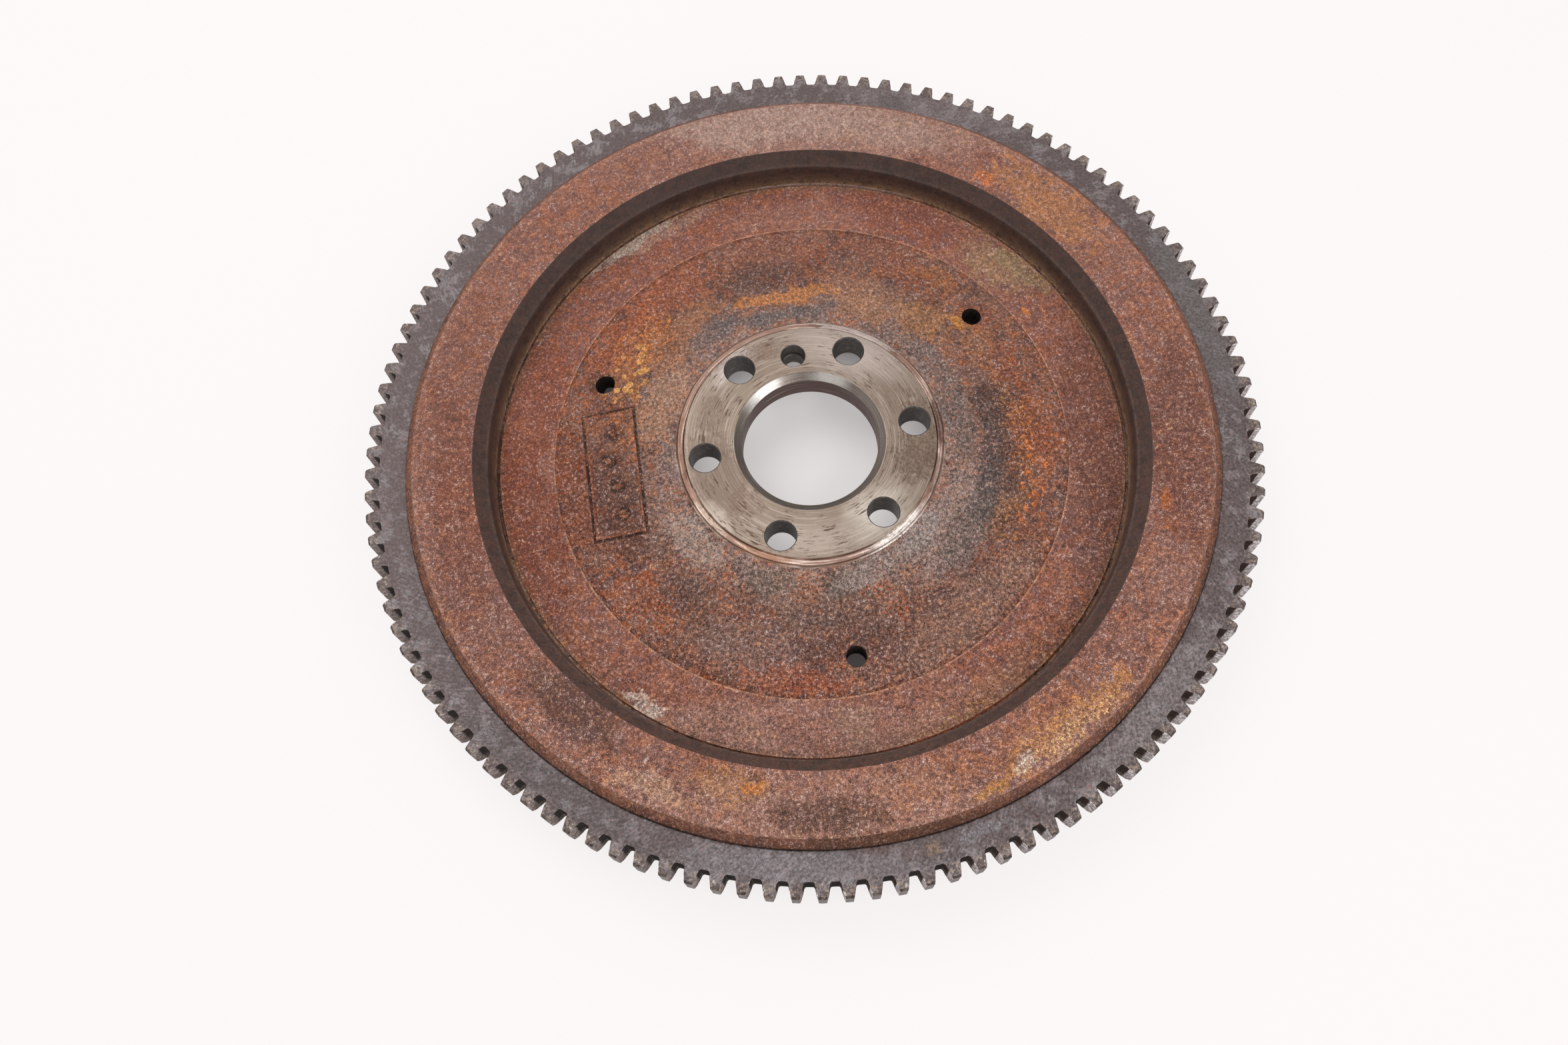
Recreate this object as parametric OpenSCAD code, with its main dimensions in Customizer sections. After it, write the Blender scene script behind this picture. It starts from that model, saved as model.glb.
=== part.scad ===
// Engine flywheel: a cast iron disc with a starter ring gear shrunk on its rim
// and three clutch cover dowels pressed in its back.
// Z = 0 is the turned face that bolts to the crankshaft, +Z points at the engine,
// and the crankshaft's dowel hole lies on +Y.

/* [Starter ring gear] */
// Number of teeth
teeth = 116; // [112:1:124]
// Module of the teeth, which is the pitch diameter over the number of teeth
tooth_module = 2.54; // [2.45:0.01:2.65]
// Pressure angle of the involute flanks, in degrees
pressure_angle = 14.5; // [14.5:0.5:20]
// Depth of a tooth below the pitch circle
dedendum = 2.42; // [2.1:0.02:3.1]
// Thickness of a tooth along the pitch circle
tooth_width = 3.85; // [3.6:0.05:3.95]
// Angle of the middle of the first tooth, in degrees
first_tooth = 0.25; // [0:0.05:3]
// Radial wall between the seat of the ring and the roots of the teeth
ring_wall = 9.4; // [7:0.1:12]
// Length of the teeth along the axis
ring_width = 12; // [9:0.5:14]
// Height of the ring's engine side face over the crankshaft face
ring_rise = 1; // [0:0.1:3]
// Bevel of the tooth tips at the engine side
tip_bevel = 0.8; // [0.3:0.1:1.2]
// Bevel of the tooth tips at the clutch side, where the pinion enters
entry_bevel = 1.2; // [0.3:0.1:1.8]
// Bevel of the ring's inner edges
bore_bevel = 0.4; // [0.2:0.1:0.8]

/* [Crankshaft seat] */
// Diameter of the centre bore over the crankshaft spigot
crank_bore_d = 46; // [40:0.5:50]
// Radial width of the lead-in at the mouth of the bore
bore_lead = 2.5; // [1:0.25:3]
// Depth of the lead-in at the mouth of the bore
bore_lead_depth = 2; // [1:0.25:4]
// Diameter of the turned face against the crankshaft
crank_face_d = 84.8; // [84:0.2:88]
// Thickness of the hub between its two faces
hub_thickness = 10.8; // [8:0.2:13]
// Width of the fine groove around the turned face
face_groove = 0.5; // [0.3:0.1:1]
// Width of the narrow step outside that groove
face_step = 1.7; // [1:0.1:3]
// Drop of the narrow step below the turned face
face_step_drop = 0.5; // [0.3:0.1:0.9]

/* [Crankshaft fixings] */
// Pitch circle diameter of the six crankshaft bolts
bolt_pcd = 71.5; // [68:0.5:72]
// Diameter of the crankshaft bolt holes
bolt_hole_d = 10.3; // [8:0.1:11]
// Edge break at the mouths of the bolt holes and at the back of the bore
bolt_edge = 0.35; // [0.1:0.05:0.5]
// Angle of the dowel hole about the axis, in degrees
dowel_angle = 90; // [0:1:360]
// Pitch circle diameter of the crankshaft dowel hole
dowel_pcd = 64.2; // [62:0.1:66]
// Diameter of the crankshaft dowel hole
dowel_hole_d = 8.2; // [6:0.1:9]
// Depth of the wide part of the dowel hole
dowel_hole_depth = 6; // [4:0.5:7]
// Diameter of the knock-out hole below the dowel
knockout_d = 6.8; // [5:0.1:7.5]
// Angle from the dowel hole to the bolt on either side of it, in degrees
bolt_near_dowel = 32; // [28:0.5:36]
// Shift of the one offset bolt from its place in line, in degrees
bolt_offset = 6; // [0:0.5:10]

/* [Web] */
// Slope of the cast web below the horizontal, in degrees
web_slope = 7.9; // [4:0.1:10]
// Drop from the crankshaft face to the start of the web
web_drop = 1.3; // [1.1:0.1:3]
// Diameter of the edge where the cast web meets the turned land
web_d = 174; // [164:1:184]
// Height of the edge between the web and the land
land_step = 0.45; // [0.2:0.05:1]
// Pitch circle diameter of the three service holes
service_pcd = 150.4; // [130:0.4:151]
// Diameter of the three service holes
service_hole_d = 6.8; // [5:0.1:8]
// Angle of the first service hole, in degrees
service_angle = 30.8; // [0:0.1:120]
// Angle of the cast date pad, in degrees
pad_angle = 178.2; // [150:0.1:210]
// Distance of the pad's middle from the axis
pad_offset = 66.8; // [60:0.1:70]
// Length of the pad across the radius
pad_length = 45.4; // [20:0.2:60]
// Width of the pad along the radius
pad_width = 17; // [10:0.2:20]
// Height of the pad over the web
pad_rise = 0.4; // [0.2:0.05:1]
// Diameter of the round date marks in the pad
mark_d = 6; // [2:0.2:8]
// Depth of the date marks
mark_depth = 0.3; // [0.1:0.05:0.4]
// Angle between one date mark and the next, in degrees
mark_pitch = 8.4; // [7:0.1:10]

/* [Rim] */
// Diameter of the dish inside the rim, at its foot
dish_d = 214.4; // [208:0.4:220]
// Width of the relief groove at the foot of the rim
relief_width = 1.1; // [0.6:0.1:2]
// Depth of the relief groove below the land
relief_depth = 1.9; // [1:0.1:3]
// Radial draft of the steep wall inside the rim
wall_draft = 1; // [0.5:0.1:2]
// Radial width of the cone at the top of the dish
cone_width = 4.3; // [2:0.1:6]
// Height of that cone
cone_height = 4.4; // [2:0.1:5.4]
// Height of the rim's top over the crankshaft face
rim_rise = 5.45; // [5:0.05:8]
// Bevel of the rim's outer edge
rim_bevel = 3; // [1.5:0.1:4]

/* [Clutch side] */
// Depth of the friction face below the crankshaft face
friction_depth = 23.5; // [21:0.5:27]
// Inner diameter of the friction face
friction_id = 160; // [158:1:170]
// Outer diameter of the friction face
friction_od = 234; // [228:1:238]
// Width of the groove around the friction face
friction_groove = 2; // [1:0.1:3]
// Depth of the groove around the friction face
friction_groove_depth = 1.5; // [1:0.1:3]
// Height of the clutch cover's face above the friction face
cover_step = 0.6; // [0.2:0.1:1.5]
// Radial width of the shoulder that stops the ring gear
shoulder_width = 4.5; // [2:0.1:6]
// Bevel of the shoulder's lower edge
shoulder_bevel = 1.5; // [0.5:0.1:3]
// Fillet in the corner of the clutch side recess
recess_fillet = 4; // [2:0.5:5]

/* [Clutch cover fixings] */
// Pitch circle diameter of the clutch cover's bolts and dowels
cover_pcd = 254; // [250:1:258]
// Tapping diameter of the six cover bolt holes
cover_hole_d = 6.8; // [5:0.1:7.5]
// Depth of the cover bolt holes
cover_hole_depth = 16; // [10:1:18]
// Countersink at the mouth of each cover bolt hole
cover_hole_edge = 0.8; // [0.2:0.1:1.2]
// Angle of the first cover bolt hole, in degrees
cover_angle = 0; // [0:1:60]
// Diameter of the clutch cover's dowels
cover_dowel_d = 8; // [6:0.5:9]
// Length of a dowel in the flywheel
cover_dowel_seat = 10; // [8:0.5:14]
// Length of a dowel that stands out for the cover
cover_dowel_reach = 6; // [4:0.5:9]
// Bevel of a dowel's ends
cover_dowel_bevel = 0.8; // [0.4:0.1:1.2]
// Room in a dowel's socket past its end
cover_dowel_room = 0.5; // [0.2:0.1:2]

/* [Hidden] */

$fn = 96;
// Overshoot of a cutter past the face it opens
cut = 1;
service_holes = 3;
cover_bolts = 6;
cover_dowels = 3;
date_marks = 4;

// Starter ring gear
pitch_r = tooth_module * teeth / 2;
tip_r = pitch_r + tooth_module;
root_r = pitch_r - dedendum;
base_r = pitch_r * cos(pressure_angle);
seat_r = root_r - ring_wall;
ring_top = ring_rise;
ring_bottom = ring_rise - ring_width;
flank_steps = 3;

// Crankshaft side of the disc
bore_r = crank_bore_d / 2;
face_r = crank_face_d / 2;
step_r = face_r + face_groove + face_step;
hub_back = -hub_thickness;

// Web and rim
web_r = web_d / 2;
web_fall = tan(web_slope);
web_edge_z = web_z(web_r);
land_z = web_edge_z - land_step;
dish_r = dish_d / 2;
cone_r = dish_r + wall_draft;
rim_inner_r = cone_r + cone_width;
hub_fillet = 0.8 * (web_drop - face_step_drop);
hub_fillet_z = -web_drop - web_fall * hub_fillet * (1 - sin(web_slope))
    + hub_fillet * cos(web_slope);

// Clutch side
friction_z = -friction_depth;
cover_z = friction_z + cover_step;
shoulder_r = seat_r + shoulder_width;
recess_r = friction_id / 2;
friction_r = friction_od / 2;
recess_floor_z = hub_back - web_fall * (recess_r - recess_fillet - step_r);
recess_edge = 0.8;

// Points of an arc about a centre
function arc(centre, r, from, to, steps = 4) =
    [for (i = [0 : steps])
        let (a = from + (to - from) * i / steps)
        [centre[0] + r * cos(a), centre[1] + r * sin(a)]];

// Height of the web's engine side at radius r
function web_z(r) = -web_drop - web_fall * (r - step_r);

// Involute function of an angle in degrees, in degrees
function involute(a) = tan(a) * 180 / PI - a;

// Half the angle that a tooth takes up at radius r, in degrees
function half_tooth(r) =
    tooth_width / pitch_r * 90 / PI
    + involute(pressure_angle) - involute(acos(base_r / r));

// Corner of a tooth about angle a, on its left or right flank
function flank_point(a, side, r) =
    let (t = a + side * half_tooth(r)) [r * cos(t), r * sin(t)];

// Outline of all the teeth
function tooth_outline() =
    [for (k = [0 : teeth - 1])
        let (a = first_tooth + k * 360 / teeth)
        each concat(
            [for (i = [0 : flank_steps])
                flank_point(a, -1, root_r + (tip_r - root_r) * i / flank_steps)],
            [for (i = [flank_steps : -1 : 0])
                flank_point(a, 1, root_r + (tip_r - root_r) * i / flank_steps)])];

// Turned blank of the ring, which bevels the tooth tips and the inner edges
module ring_blank() {
    rotate_extrude()
        polygon([
            [seat_r, ring_bottom + bore_bevel],
            [seat_r + bore_bevel, ring_bottom],
            [tip_r - entry_bevel, ring_bottom],
            [tip_r, ring_bottom + entry_bevel],
            [tip_r, ring_top - tip_bevel],
            [tip_r - tip_bevel, ring_top],
            [seat_r + bore_bevel, ring_top],
            [seat_r, ring_top - bore_bevel]]);
}

module starter_ring_gear() {
    color("slategray")
    intersection() {
        ring_blank();
        translate([0, 0, ring_bottom - cut])
            linear_extrude(ring_width + 2 * cut)
                polygon(tooth_outline());
    }
}

// Section of the disc on the engine side, from the bore out to the ring's seat
function engine_side() = concat(
    [[bore_r, -bore_lead_depth],
     [bore_r + bore_lead, 0],
     [face_r, 0],
     [face_r + face_groove / 2, -face_step_drop - face_groove / 2],
     [face_r + face_groove, -face_step_drop],
     [step_r, -face_step_drop]],
    arc([step_r + hub_fillet, hub_fillet_z], hub_fillet, 180, 270 - web_slope),
    [[web_r, web_edge_z],
     [web_r + land_step, land_z],
     [dish_r - relief_width, land_z],
     [dish_r - relief_width, land_z - relief_depth],
     [dish_r, land_z - relief_depth],
     [dish_r, land_z],
     [cone_r, rim_rise - cone_height],
     [rim_inner_r, rim_rise],
     [seat_r - rim_bevel, rim_rise],
     [seat_r, rim_rise - rim_bevel]]);

// Section of the disc on the clutch side, from the ring's seat back to the bore
function clutch_side() = concat(
    [[seat_r, ring_bottom],
     [shoulder_r, ring_bottom],
     [shoulder_r, cover_z + shoulder_bevel],
     [shoulder_r - shoulder_bevel, cover_z],
     [friction_r + friction_groove, cover_z],
     [friction_r + friction_groove, friction_z + friction_groove_depth],
     [friction_r, friction_z + friction_groove_depth],
     [friction_r, friction_z],
     [recess_r + recess_edge, friction_z],
     [recess_r, friction_z + recess_edge]],
    arc([recess_r - recess_fillet, recess_floor_z - recess_fillet],
        recess_fillet, 0, 90),
    [[step_r, hub_back],
     [bore_r + bolt_edge, hub_back],
     [bore_r, hub_back + bolt_edge]]);

// Through hole with a broken edge at the crankshaft face
module bolt_hole() {
    translate([0, 0, hub_back - cut])
        cylinder(d = bolt_hole_d, h = hub_thickness + 2 * cut);
    translate([0, 0, -bolt_edge])
        cylinder(d1 = bolt_hole_d, d2 = bolt_hole_d + 2 * (bolt_edge + cut),
                 h = bolt_edge + cut);
}

// Bolts stand in pairs across the axis, at equal angles about the dowel, but
// one is offset, so that the disc goes on the crankshaft in one position only
module crank_bolt_holes() {
    turns = [-bolt_near_dowel, bolt_near_dowel, -90, 90,
             180 + bolt_near_dowel, 180 - bolt_near_dowel + bolt_offset];
    for (a = turns)
        rotate(dowel_angle + a)
            translate([bolt_pcd / 2, 0, 0])
                bolt_hole();
}

module crank_dowel_hole() {
    rotate(dowel_angle) translate([dowel_pcd / 2, 0, 0]) {
        translate([0, 0, -dowel_hole_depth])
            cylinder(d = dowel_hole_d, h = dowel_hole_depth + cut);
        translate([0, 0, hub_back - cut])
            cylinder(d = knockout_d, h = hub_thickness);
    }
}

module service_hole_cuts() {
    for (k = [0 : service_holes - 1])
        rotate(service_angle + k * 360 / service_holes)
            translate([service_pcd / 2, 0, friction_z])
                cylinder(d = service_hole_d, h = friction_depth);
}

module cover_hole_cuts() {
    for (k = [0 : cover_bolts - 1])
        rotate(cover_angle + k * 360 / cover_bolts)
            translate([cover_pcd / 2, 0, cover_z - cut]) {
                cylinder(d = cover_hole_d, h = cover_hole_depth + cut);
                cylinder(d1 = cover_hole_d + 2 * (cover_hole_edge + cut),
                         d2 = cover_hole_d, h = cover_hole_edge + cut);
            }
}

// Angle of dowel k, midway between two cover bolt holes
function cover_dowel_angle(k) =
    cover_angle + 180 / cover_bolts + k * 360 / cover_dowels;

module cover_dowel_sockets() {
    for (k = [0 : cover_dowels - 1])
        rotate(cover_dowel_angle(k))
            translate([cover_pcd / 2, 0, cover_z - cut])
                cylinder(d = cover_dowel_d,
                         h = cover_dowel_seat + cover_dowel_room + cut);
}

// Flat pad raised over the web, which follows the web's slope
module date_pad() {
    intersection() {
        rotate(pad_angle)
            translate([pad_offset, 0, hub_back])
                linear_extrude(hub_thickness)
                    square([pad_width, pad_length], center = true);
        rotate_extrude()
            polygon([
                [step_r, hub_back],
                [web_r, hub_back],
                [web_r, web_z(web_r) + pad_rise],
                [step_r, web_z(step_r) + pad_rise]]);
    }
}

// Round marks in a row along the pad, square to its surface
module date_mark_cuts() {
    for (k = [0 : date_marks - 1])
        rotate(pad_angle + (k - (date_marks - 1) / 2) * mark_pitch)
            translate([pad_offset, 0, web_z(pad_offset) + pad_rise])
                rotate([0, web_slope, 0])
                    translate([0, 0, -mark_depth])
                        cylinder(d = mark_d, h = mark_depth + cut);
}

module flywheel_disc() {
    color("sienna")
    difference() {
        union() {
            rotate_extrude() polygon(concat(engine_side(), clutch_side()));
            date_pad();
        }
        date_mark_cuts();
        crank_bolt_holes();
        crank_dowel_hole();
        service_hole_cuts();
        cover_hole_cuts();
        cover_dowel_sockets();
    }
}

// Parallel pin, bevelled at both ends
module clutch_dowel(k) {
    dowel_r = cover_dowel_d / 2;
    low = cover_z - cover_dowel_reach;
    high = cover_z + cover_dowel_seat;
    color("silver")
    rotate(cover_dowel_angle(k))
        translate([cover_pcd / 2, 0, 0])
            rotate_extrude()
                polygon([
                    [0, low],
                    [dowel_r - cover_dowel_bevel, low],
                    [dowel_r, low + cover_dowel_bevel],
                    [dowel_r, high - cover_dowel_bevel],
                    [dowel_r - cover_dowel_bevel, high],
                    [0, high]]);
}

flywheel_disc();
starter_ring_gear();
clutch_dowel(0);  // clutch_dowel_1
clutch_dowel(1);  // clutch_dowel_2
clutch_dowel(2);  // clutch_dowel_3
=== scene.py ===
"""Engine flywheel with its starter ring gear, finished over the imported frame.

Z = 0 is the turned face that bolts to the crankshaft, +Z points at the engine
and the crankshaft's dowel hole lies on +Y. The classes hold their sizes in
millimetres and degrees, and every mesh is made in metres.
"""

import logging
import math
from collections.abc import Callable, Iterable, Mapping, Sequence
from dataclasses import dataclass
from enum import Enum

import bpy
from mathutils import Matrix, Vector


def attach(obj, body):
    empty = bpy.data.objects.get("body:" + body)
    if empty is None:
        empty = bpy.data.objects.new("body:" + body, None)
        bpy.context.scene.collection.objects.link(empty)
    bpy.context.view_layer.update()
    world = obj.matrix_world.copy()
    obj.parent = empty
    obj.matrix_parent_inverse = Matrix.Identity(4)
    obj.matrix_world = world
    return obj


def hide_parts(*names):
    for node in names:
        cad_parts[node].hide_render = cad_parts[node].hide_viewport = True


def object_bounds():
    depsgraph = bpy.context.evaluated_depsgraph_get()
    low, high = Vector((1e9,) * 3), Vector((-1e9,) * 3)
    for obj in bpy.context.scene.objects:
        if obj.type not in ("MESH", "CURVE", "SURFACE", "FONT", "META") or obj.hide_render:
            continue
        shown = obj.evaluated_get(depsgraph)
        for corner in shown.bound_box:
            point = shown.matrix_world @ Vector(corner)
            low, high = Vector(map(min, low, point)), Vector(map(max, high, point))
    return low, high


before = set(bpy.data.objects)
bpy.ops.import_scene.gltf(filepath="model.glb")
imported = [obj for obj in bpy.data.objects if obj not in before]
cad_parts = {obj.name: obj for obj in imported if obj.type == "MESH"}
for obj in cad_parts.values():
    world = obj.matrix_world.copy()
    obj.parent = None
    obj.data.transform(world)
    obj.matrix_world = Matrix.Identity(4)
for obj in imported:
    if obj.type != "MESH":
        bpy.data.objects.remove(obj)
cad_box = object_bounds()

MM = 0.001
PATCH_HEIGHT = 1000.0
log = logging.getLogger("flywheel")

Triple = tuple[float, float, float]
Colour = Triple
Point = tuple[float, float]


# ---------------------------------------------------------------- shader maths


def srgb(colour: Colour) -> tuple[float, float, float, float]:
    """Turns a colour of 0 to 255 into the linear one that sockets take.

    Args:
        colour: Red, green and blue as a colour picker shows them.

    Returns:
        The same colour, linear, with full alpha.
    """

    def linear(part: float) -> float:
        """Linear value of one part of the colour."""
        part /= 255
        return part / 12.92 if part <= 0.04045 else ((part + 0.055) / 1.055) ** 2.4

    return (*(linear(part) for part in colour), 1.0)


class Channel:
    """A shader socket that adds Math nodes when it is used in an expression."""

    def __init__(self, recipe: "Recipe", socket: bpy.types.NodeSocket) -> None:
        """Wraps one output socket of a recipe's node."""
        self.recipe = recipe
        self.socket = socket

    def math(self, operation: str, *values: object) -> "Channel":
        """Adds one Math node.

        Args:
            operation: The node's operation.
            values: What goes into its sockets, in order.

        Returns:
            The node's result.
        """
        inputs = dict(enumerate(values))
        return self.recipe.node("ShaderNodeMath", {"operation": operation}, inputs)

    def __add__(self, other: object) -> "Channel":
        """Sum."""
        return self.math("ADD", self, other)

    __radd__ = __add__

    def __sub__(self, other: object) -> "Channel":
        """Difference."""
        return self.math("SUBTRACT", self, other)

    def __rsub__(self, other: object) -> "Channel":
        """Difference from a plain number."""
        return self.math("SUBTRACT", other, self)

    def __mul__(self, other: object) -> "Channel":
        """Product."""
        return self.math("MULTIPLY", self, other)

    __rmul__ = __mul__

    def __truediv__(self, other: object) -> "Channel":
        """Quotient."""
        return self.math("DIVIDE", self, other)

    def most(self, other: object) -> "Channel":
        """The larger of two values."""
        return self.math("MAXIMUM", self, other)

    def rise(self, low: float, high: float) -> "Channel":
        """Smooth step from 0 at low to 1 at high.

        Args:
            low: Value where the step starts.
            high: Value where it ends, which may be below low.

        Returns:
            The step, from 0 to 1.
        """
        if high < low:
            return 1 - self.rise(high, low)
        return self.recipe.node(
            "ShaderNodeMapRange",
            {"interpolation_type": "SMOOTHSTEP"},
            {"Value": self, "From Min": low, "From Max": high},
        )


class Recipe:
    """The node tree of one material, with the few steps every finish needs."""

    def __init__(self, name: str) -> None:
        """Starts an empty material.

        Args:
            name: The material's name.
        """
        self.material = bpy.data.materials.new(name)
        self.material.use_nodes = True
        self.tree = self.material.node_tree
        self.tree.nodes.clear()
        metres = self.node("ShaderNodeTexCoord", out="Object")
        self.place = self.vector("SCALE", {0: metres, "Scale": 1 / MM})

    def node(
        self,
        kind: str,
        settings: Mapping[str, object] | None = None,
        inputs: Mapping[int | str, object] | None = None,
        out: int | str = 0,
    ) -> Channel | None:
        """Adds a node, sets it up and then fills its sockets.

        Args:
            kind: The node's type.
            settings: Its properties, or the stops of a ramp under "stops".
            inputs: Values or channels by socket.
            out: The output that is wanted.

        Returns:
            That output, or None where the node has no output.
        """
        made = self.tree.nodes.new(kind)
        for key, value in (settings or {}).items():
            if key == "stops":
                self.set_stops(made.color_ramp, value)
            else:
                setattr(made, key, value)
        for key, value in (inputs or {}).items():
            if isinstance(value, Channel):
                self.tree.links.new(value.socket, made.inputs[key])
            else:
                made.inputs[key].default_value = value
        return Channel(self, made.outputs[out]) if len(made.outputs) else None

    @staticmethod
    def set_stops(ramp: bpy.types.ColorRamp, stops: Sequence[tuple]) -> None:
        """Gives a ramp its stops.

        Args:
            ramp: The node's ramp, which has two stops to start with.
            stops: Place from 0 to 1 and linear colour of each.
        """
        while len(ramp.elements) < len(stops):
            ramp.elements.new(1.0)
        for element, (where, colour) in zip(ramp.elements, stops):
            element.position = where
            element.color = colour

    def vector(
        self, operation: str, inputs: Mapping[int | str, object], out: int | str = 0
    ) -> Channel:
        """Adds one Vector Math node.

        Args:
            operation: The node's operation.
            inputs: Values or channels by socket.
            out: The output that is wanted.

        Returns:
            That output.
        """
        settings = {"operation": operation}
        return self.node("ShaderNodeVectorMath", settings, inputs, out)

    def split(self, vector: Channel) -> tuple[Channel, Channel, Channel]:
        """The three parts of a vector."""
        first = self.node("ShaderNodeSeparateXYZ", None, {0: vector})
        outs = first.socket.node.outputs
        return tuple(Channel(self, outs[k]) for k in range(3))

    def radius(self) -> Channel:
        """Distance from the axis, in millimetres."""
        flat = self.vector("MULTIPLY", {0: self.place, 1: (1.0, 1.0, 0.0)})
        return self.vector("LENGTH", {0: flat}, "Value")

    def noise(
        self,
        size: float,
        detail: float = 2.0,
        rough: float = 0.5,
        where: Channel | None = None,
        out: int = 0,
    ) -> Channel:
        """Cloudy noise.

        Args:
            size: Size of its features in millimetres.
            detail: Octaves of finer noise.
            rough: How strong the finer noise is.
            where: Coordinates, which are the place in millimetres by default.
            out: 0 for the value and 1 for the colour.

        Returns:
            The noise, about 0.5.
        """
        inputs = {
            "Vector": where or self.place,
            "Scale": 1 / size,
            "Detail": detail,
            "Roughness": rough,
        }
        return self.node("ShaderNodeTexNoise", None, inputs, out)

    def streaks(self, length: float, width: float, detail: float = 3.0) -> Channel:
        """Noise that is long round the axis and narrow across, as tool marks are.

        Args:
            length: Length of a mark in millimetres.
            width: Width of a mark in millimetres.
            detail: Octaves of finer marks.

        Returns:
            The noise, about 0.5.
        """
        x, y, z = self.split(self.place)
        across = (self.radius() + z * 1.3) / width
        inputs = {0: x / length, 1: y / length, 2: across}
        where = self.node("ShaderNodeCombineXYZ", None, inputs)
        return self.noise(1.0, detail, 0.62, where)

    def toward(self, far: float, near: float) -> Channel:
        """A value that changes slowly across the object.

        Args:
            far: The value at the +Y side.
            near: The value at the -Y side.

        Returns:
            The value.
        """
        _, y, _ = self.split(self.place)
        return y.rise(130.0, -130.0) * (near - far) + far

    def mix(self, below: object, above: object, share: object) -> Channel:
        """One colour laid over another.

        Args:
            below: Channel or linear colour where the share is 0.
            above: Channel or linear colour where the share is 1.
            share: From 0 to 1.

        Returns:
            The mixed colour.
        """
        settings = {"data_type": "RGBA"}
        inputs = {0: share, 6: below, 7: above}
        return self.node("ShaderNodeMix", settings, inputs, 2)

    def shade(self, colour: Channel, factor: Channel) -> Channel:
        """The colour times a factor, lighter over 1 and darker under it."""
        return self.vector("SCALE", {0: colour, "Scale": factor})

    def warped(self, size: float, reach: float) -> Channel:
        """The place, pushed about by noise, which tears the edges of what uses it.

        Args:
            size: Size of the noise in millimetres.
            reach: How far it pushes, in millimetres.

        Returns:
            The pushed place.
        """
        cloud = self.noise(size, 3.0, 0.6, out=1)
        low, span = (-reach, -reach, 0.0), (2 * reach, 2 * reach, 0.0)
        push = self.vector("MULTIPLY_ADD", {0: cloud, 1: span, 2: low})
        return self.vector("ADD", {0: self.place, 1: push})

    def local(
        self, where: Channel, angle: float, radius: float, scale: Triple = (1, 1, 1)
    ) -> Channel:
        """Coordinates about a point of the disc, with X along its radius.

        Args:
            where: The coordinates to turn and move.
            angle: Angle of the point, in degrees.
            radius: Its distance from the axis, in millimetres.
            scale: Lengths that count as 1.

        Returns:
            The local coordinates.
        """
        turn = math.radians(angle)
        inputs = {
            "Vector": where,
            "Location": (radius * math.cos(turn), radius * math.sin(turn), 0.0),
            "Rotation": (0.0, 0.0, turn),
            "Scale": scale,
        }
        return self.node("ShaderNodeMapping", {"vector_type": "TEXTURE"}, inputs)

    def bump(self, height: Channel, depth: float) -> Channel:
        """Normal of a rough surface.

        Args:
            height: Height from 0 to 1.
            depth: What 1 stands for, in millimetres.

        Returns:
            The normal.
        """
        inputs = {"Strength": 1.0, "Distance": depth * MM, "Height": height}
        return self.node("ShaderNodeBump", None, inputs)

    def finish(
        self,
        colour: object,
        roughness: object,
        metallic: object = 0.0,
        normal: Channel | None = None,
        specular: float = 0.5,
    ) -> bpy.types.Material:
        """Closes the tree with the shader and the output.

        Args:
            colour: Base colour.
            roughness: Roughness.
            metallic: Metallic share.
            normal: Bumped normal.
            specular: Specular level, which is the same all over.

        Returns:
            The material.
        """
        inputs = {
            "Base Color": colour,
            "Roughness": roughness,
            "Metallic": metallic,
            "Specular IOR Level": specular,
        }
        if normal is not None:
            inputs["Normal"] = normal
        shader = self.node("ShaderNodeBsdfPrincipled", None, inputs)
        self.node("ShaderNodeOutputMaterial", None, {"Surface": shader})
        return self.material


# -------------------------------------------------------------------- finishes


@dataclass(frozen=True)
class Patch:
    """A ragged spot of another colour.

    Angle and radius are its middle, across and along are its half sizes along
    the radius and round the circle, share is how much of it shows, torn is how
    far its edge breaks up, and flecks is how far its inside does. Dots is the
    distance between the round blisters that it is made of, or 0 for none.
    """

    angle: float
    radius: float
    across: float
    along: float
    colour: Colour
    share: float = 0.6
    torn: float = 1.5
    flecks: float = 0.65
    dots: float = 0.0


@dataclass(frozen=True)
class Bloom:
    """Flecks of another colour all over a surface.

    Size is in millimetres, low and high are the noise where they start and
    where they are full, share is how much of them shows, and cluster is the
    size of the clouds that they gather in, or 0 where they lie everywhere.
    """

    size: float
    low: float
    high: float
    colour: Colour
    share: float = 0.5
    cluster: float = 0.0


@dataclass(frozen=True)
class Border:
    """A band of colour along the groove round a cast pad, whose sides are straight, such
    as the groove's painted shade.

    Angle and radius are the pad's middle, and across and along its half sizes.
    """

    angle: float
    radius: float
    across: float
    along: float
    width: float
    colour: Colour
    share: float = 0.8


def lay_blooms(mix: Recipe, colour: Channel, blooms: Iterable[Bloom]) -> Channel:
    """Lays flecks over a colour, in order.

    Args:
        mix: The material's recipe.
        colour: The colour under them.
        blooms: The flecks.

    Returns:
        The colour with its flecks.
    """
    for bloom in blooms:
        share = mix.noise(bloom.size, 4.0, 0.66).rise(bloom.low, bloom.high)
        if bloom.cluster:
            share = share * mix.noise(bloom.cluster, 3.0, 0.6).rise(0.44, 0.6)
        colour = mix.mix(colour, srgb(bloom.colour), share * bloom.share)
    return colour


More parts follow.
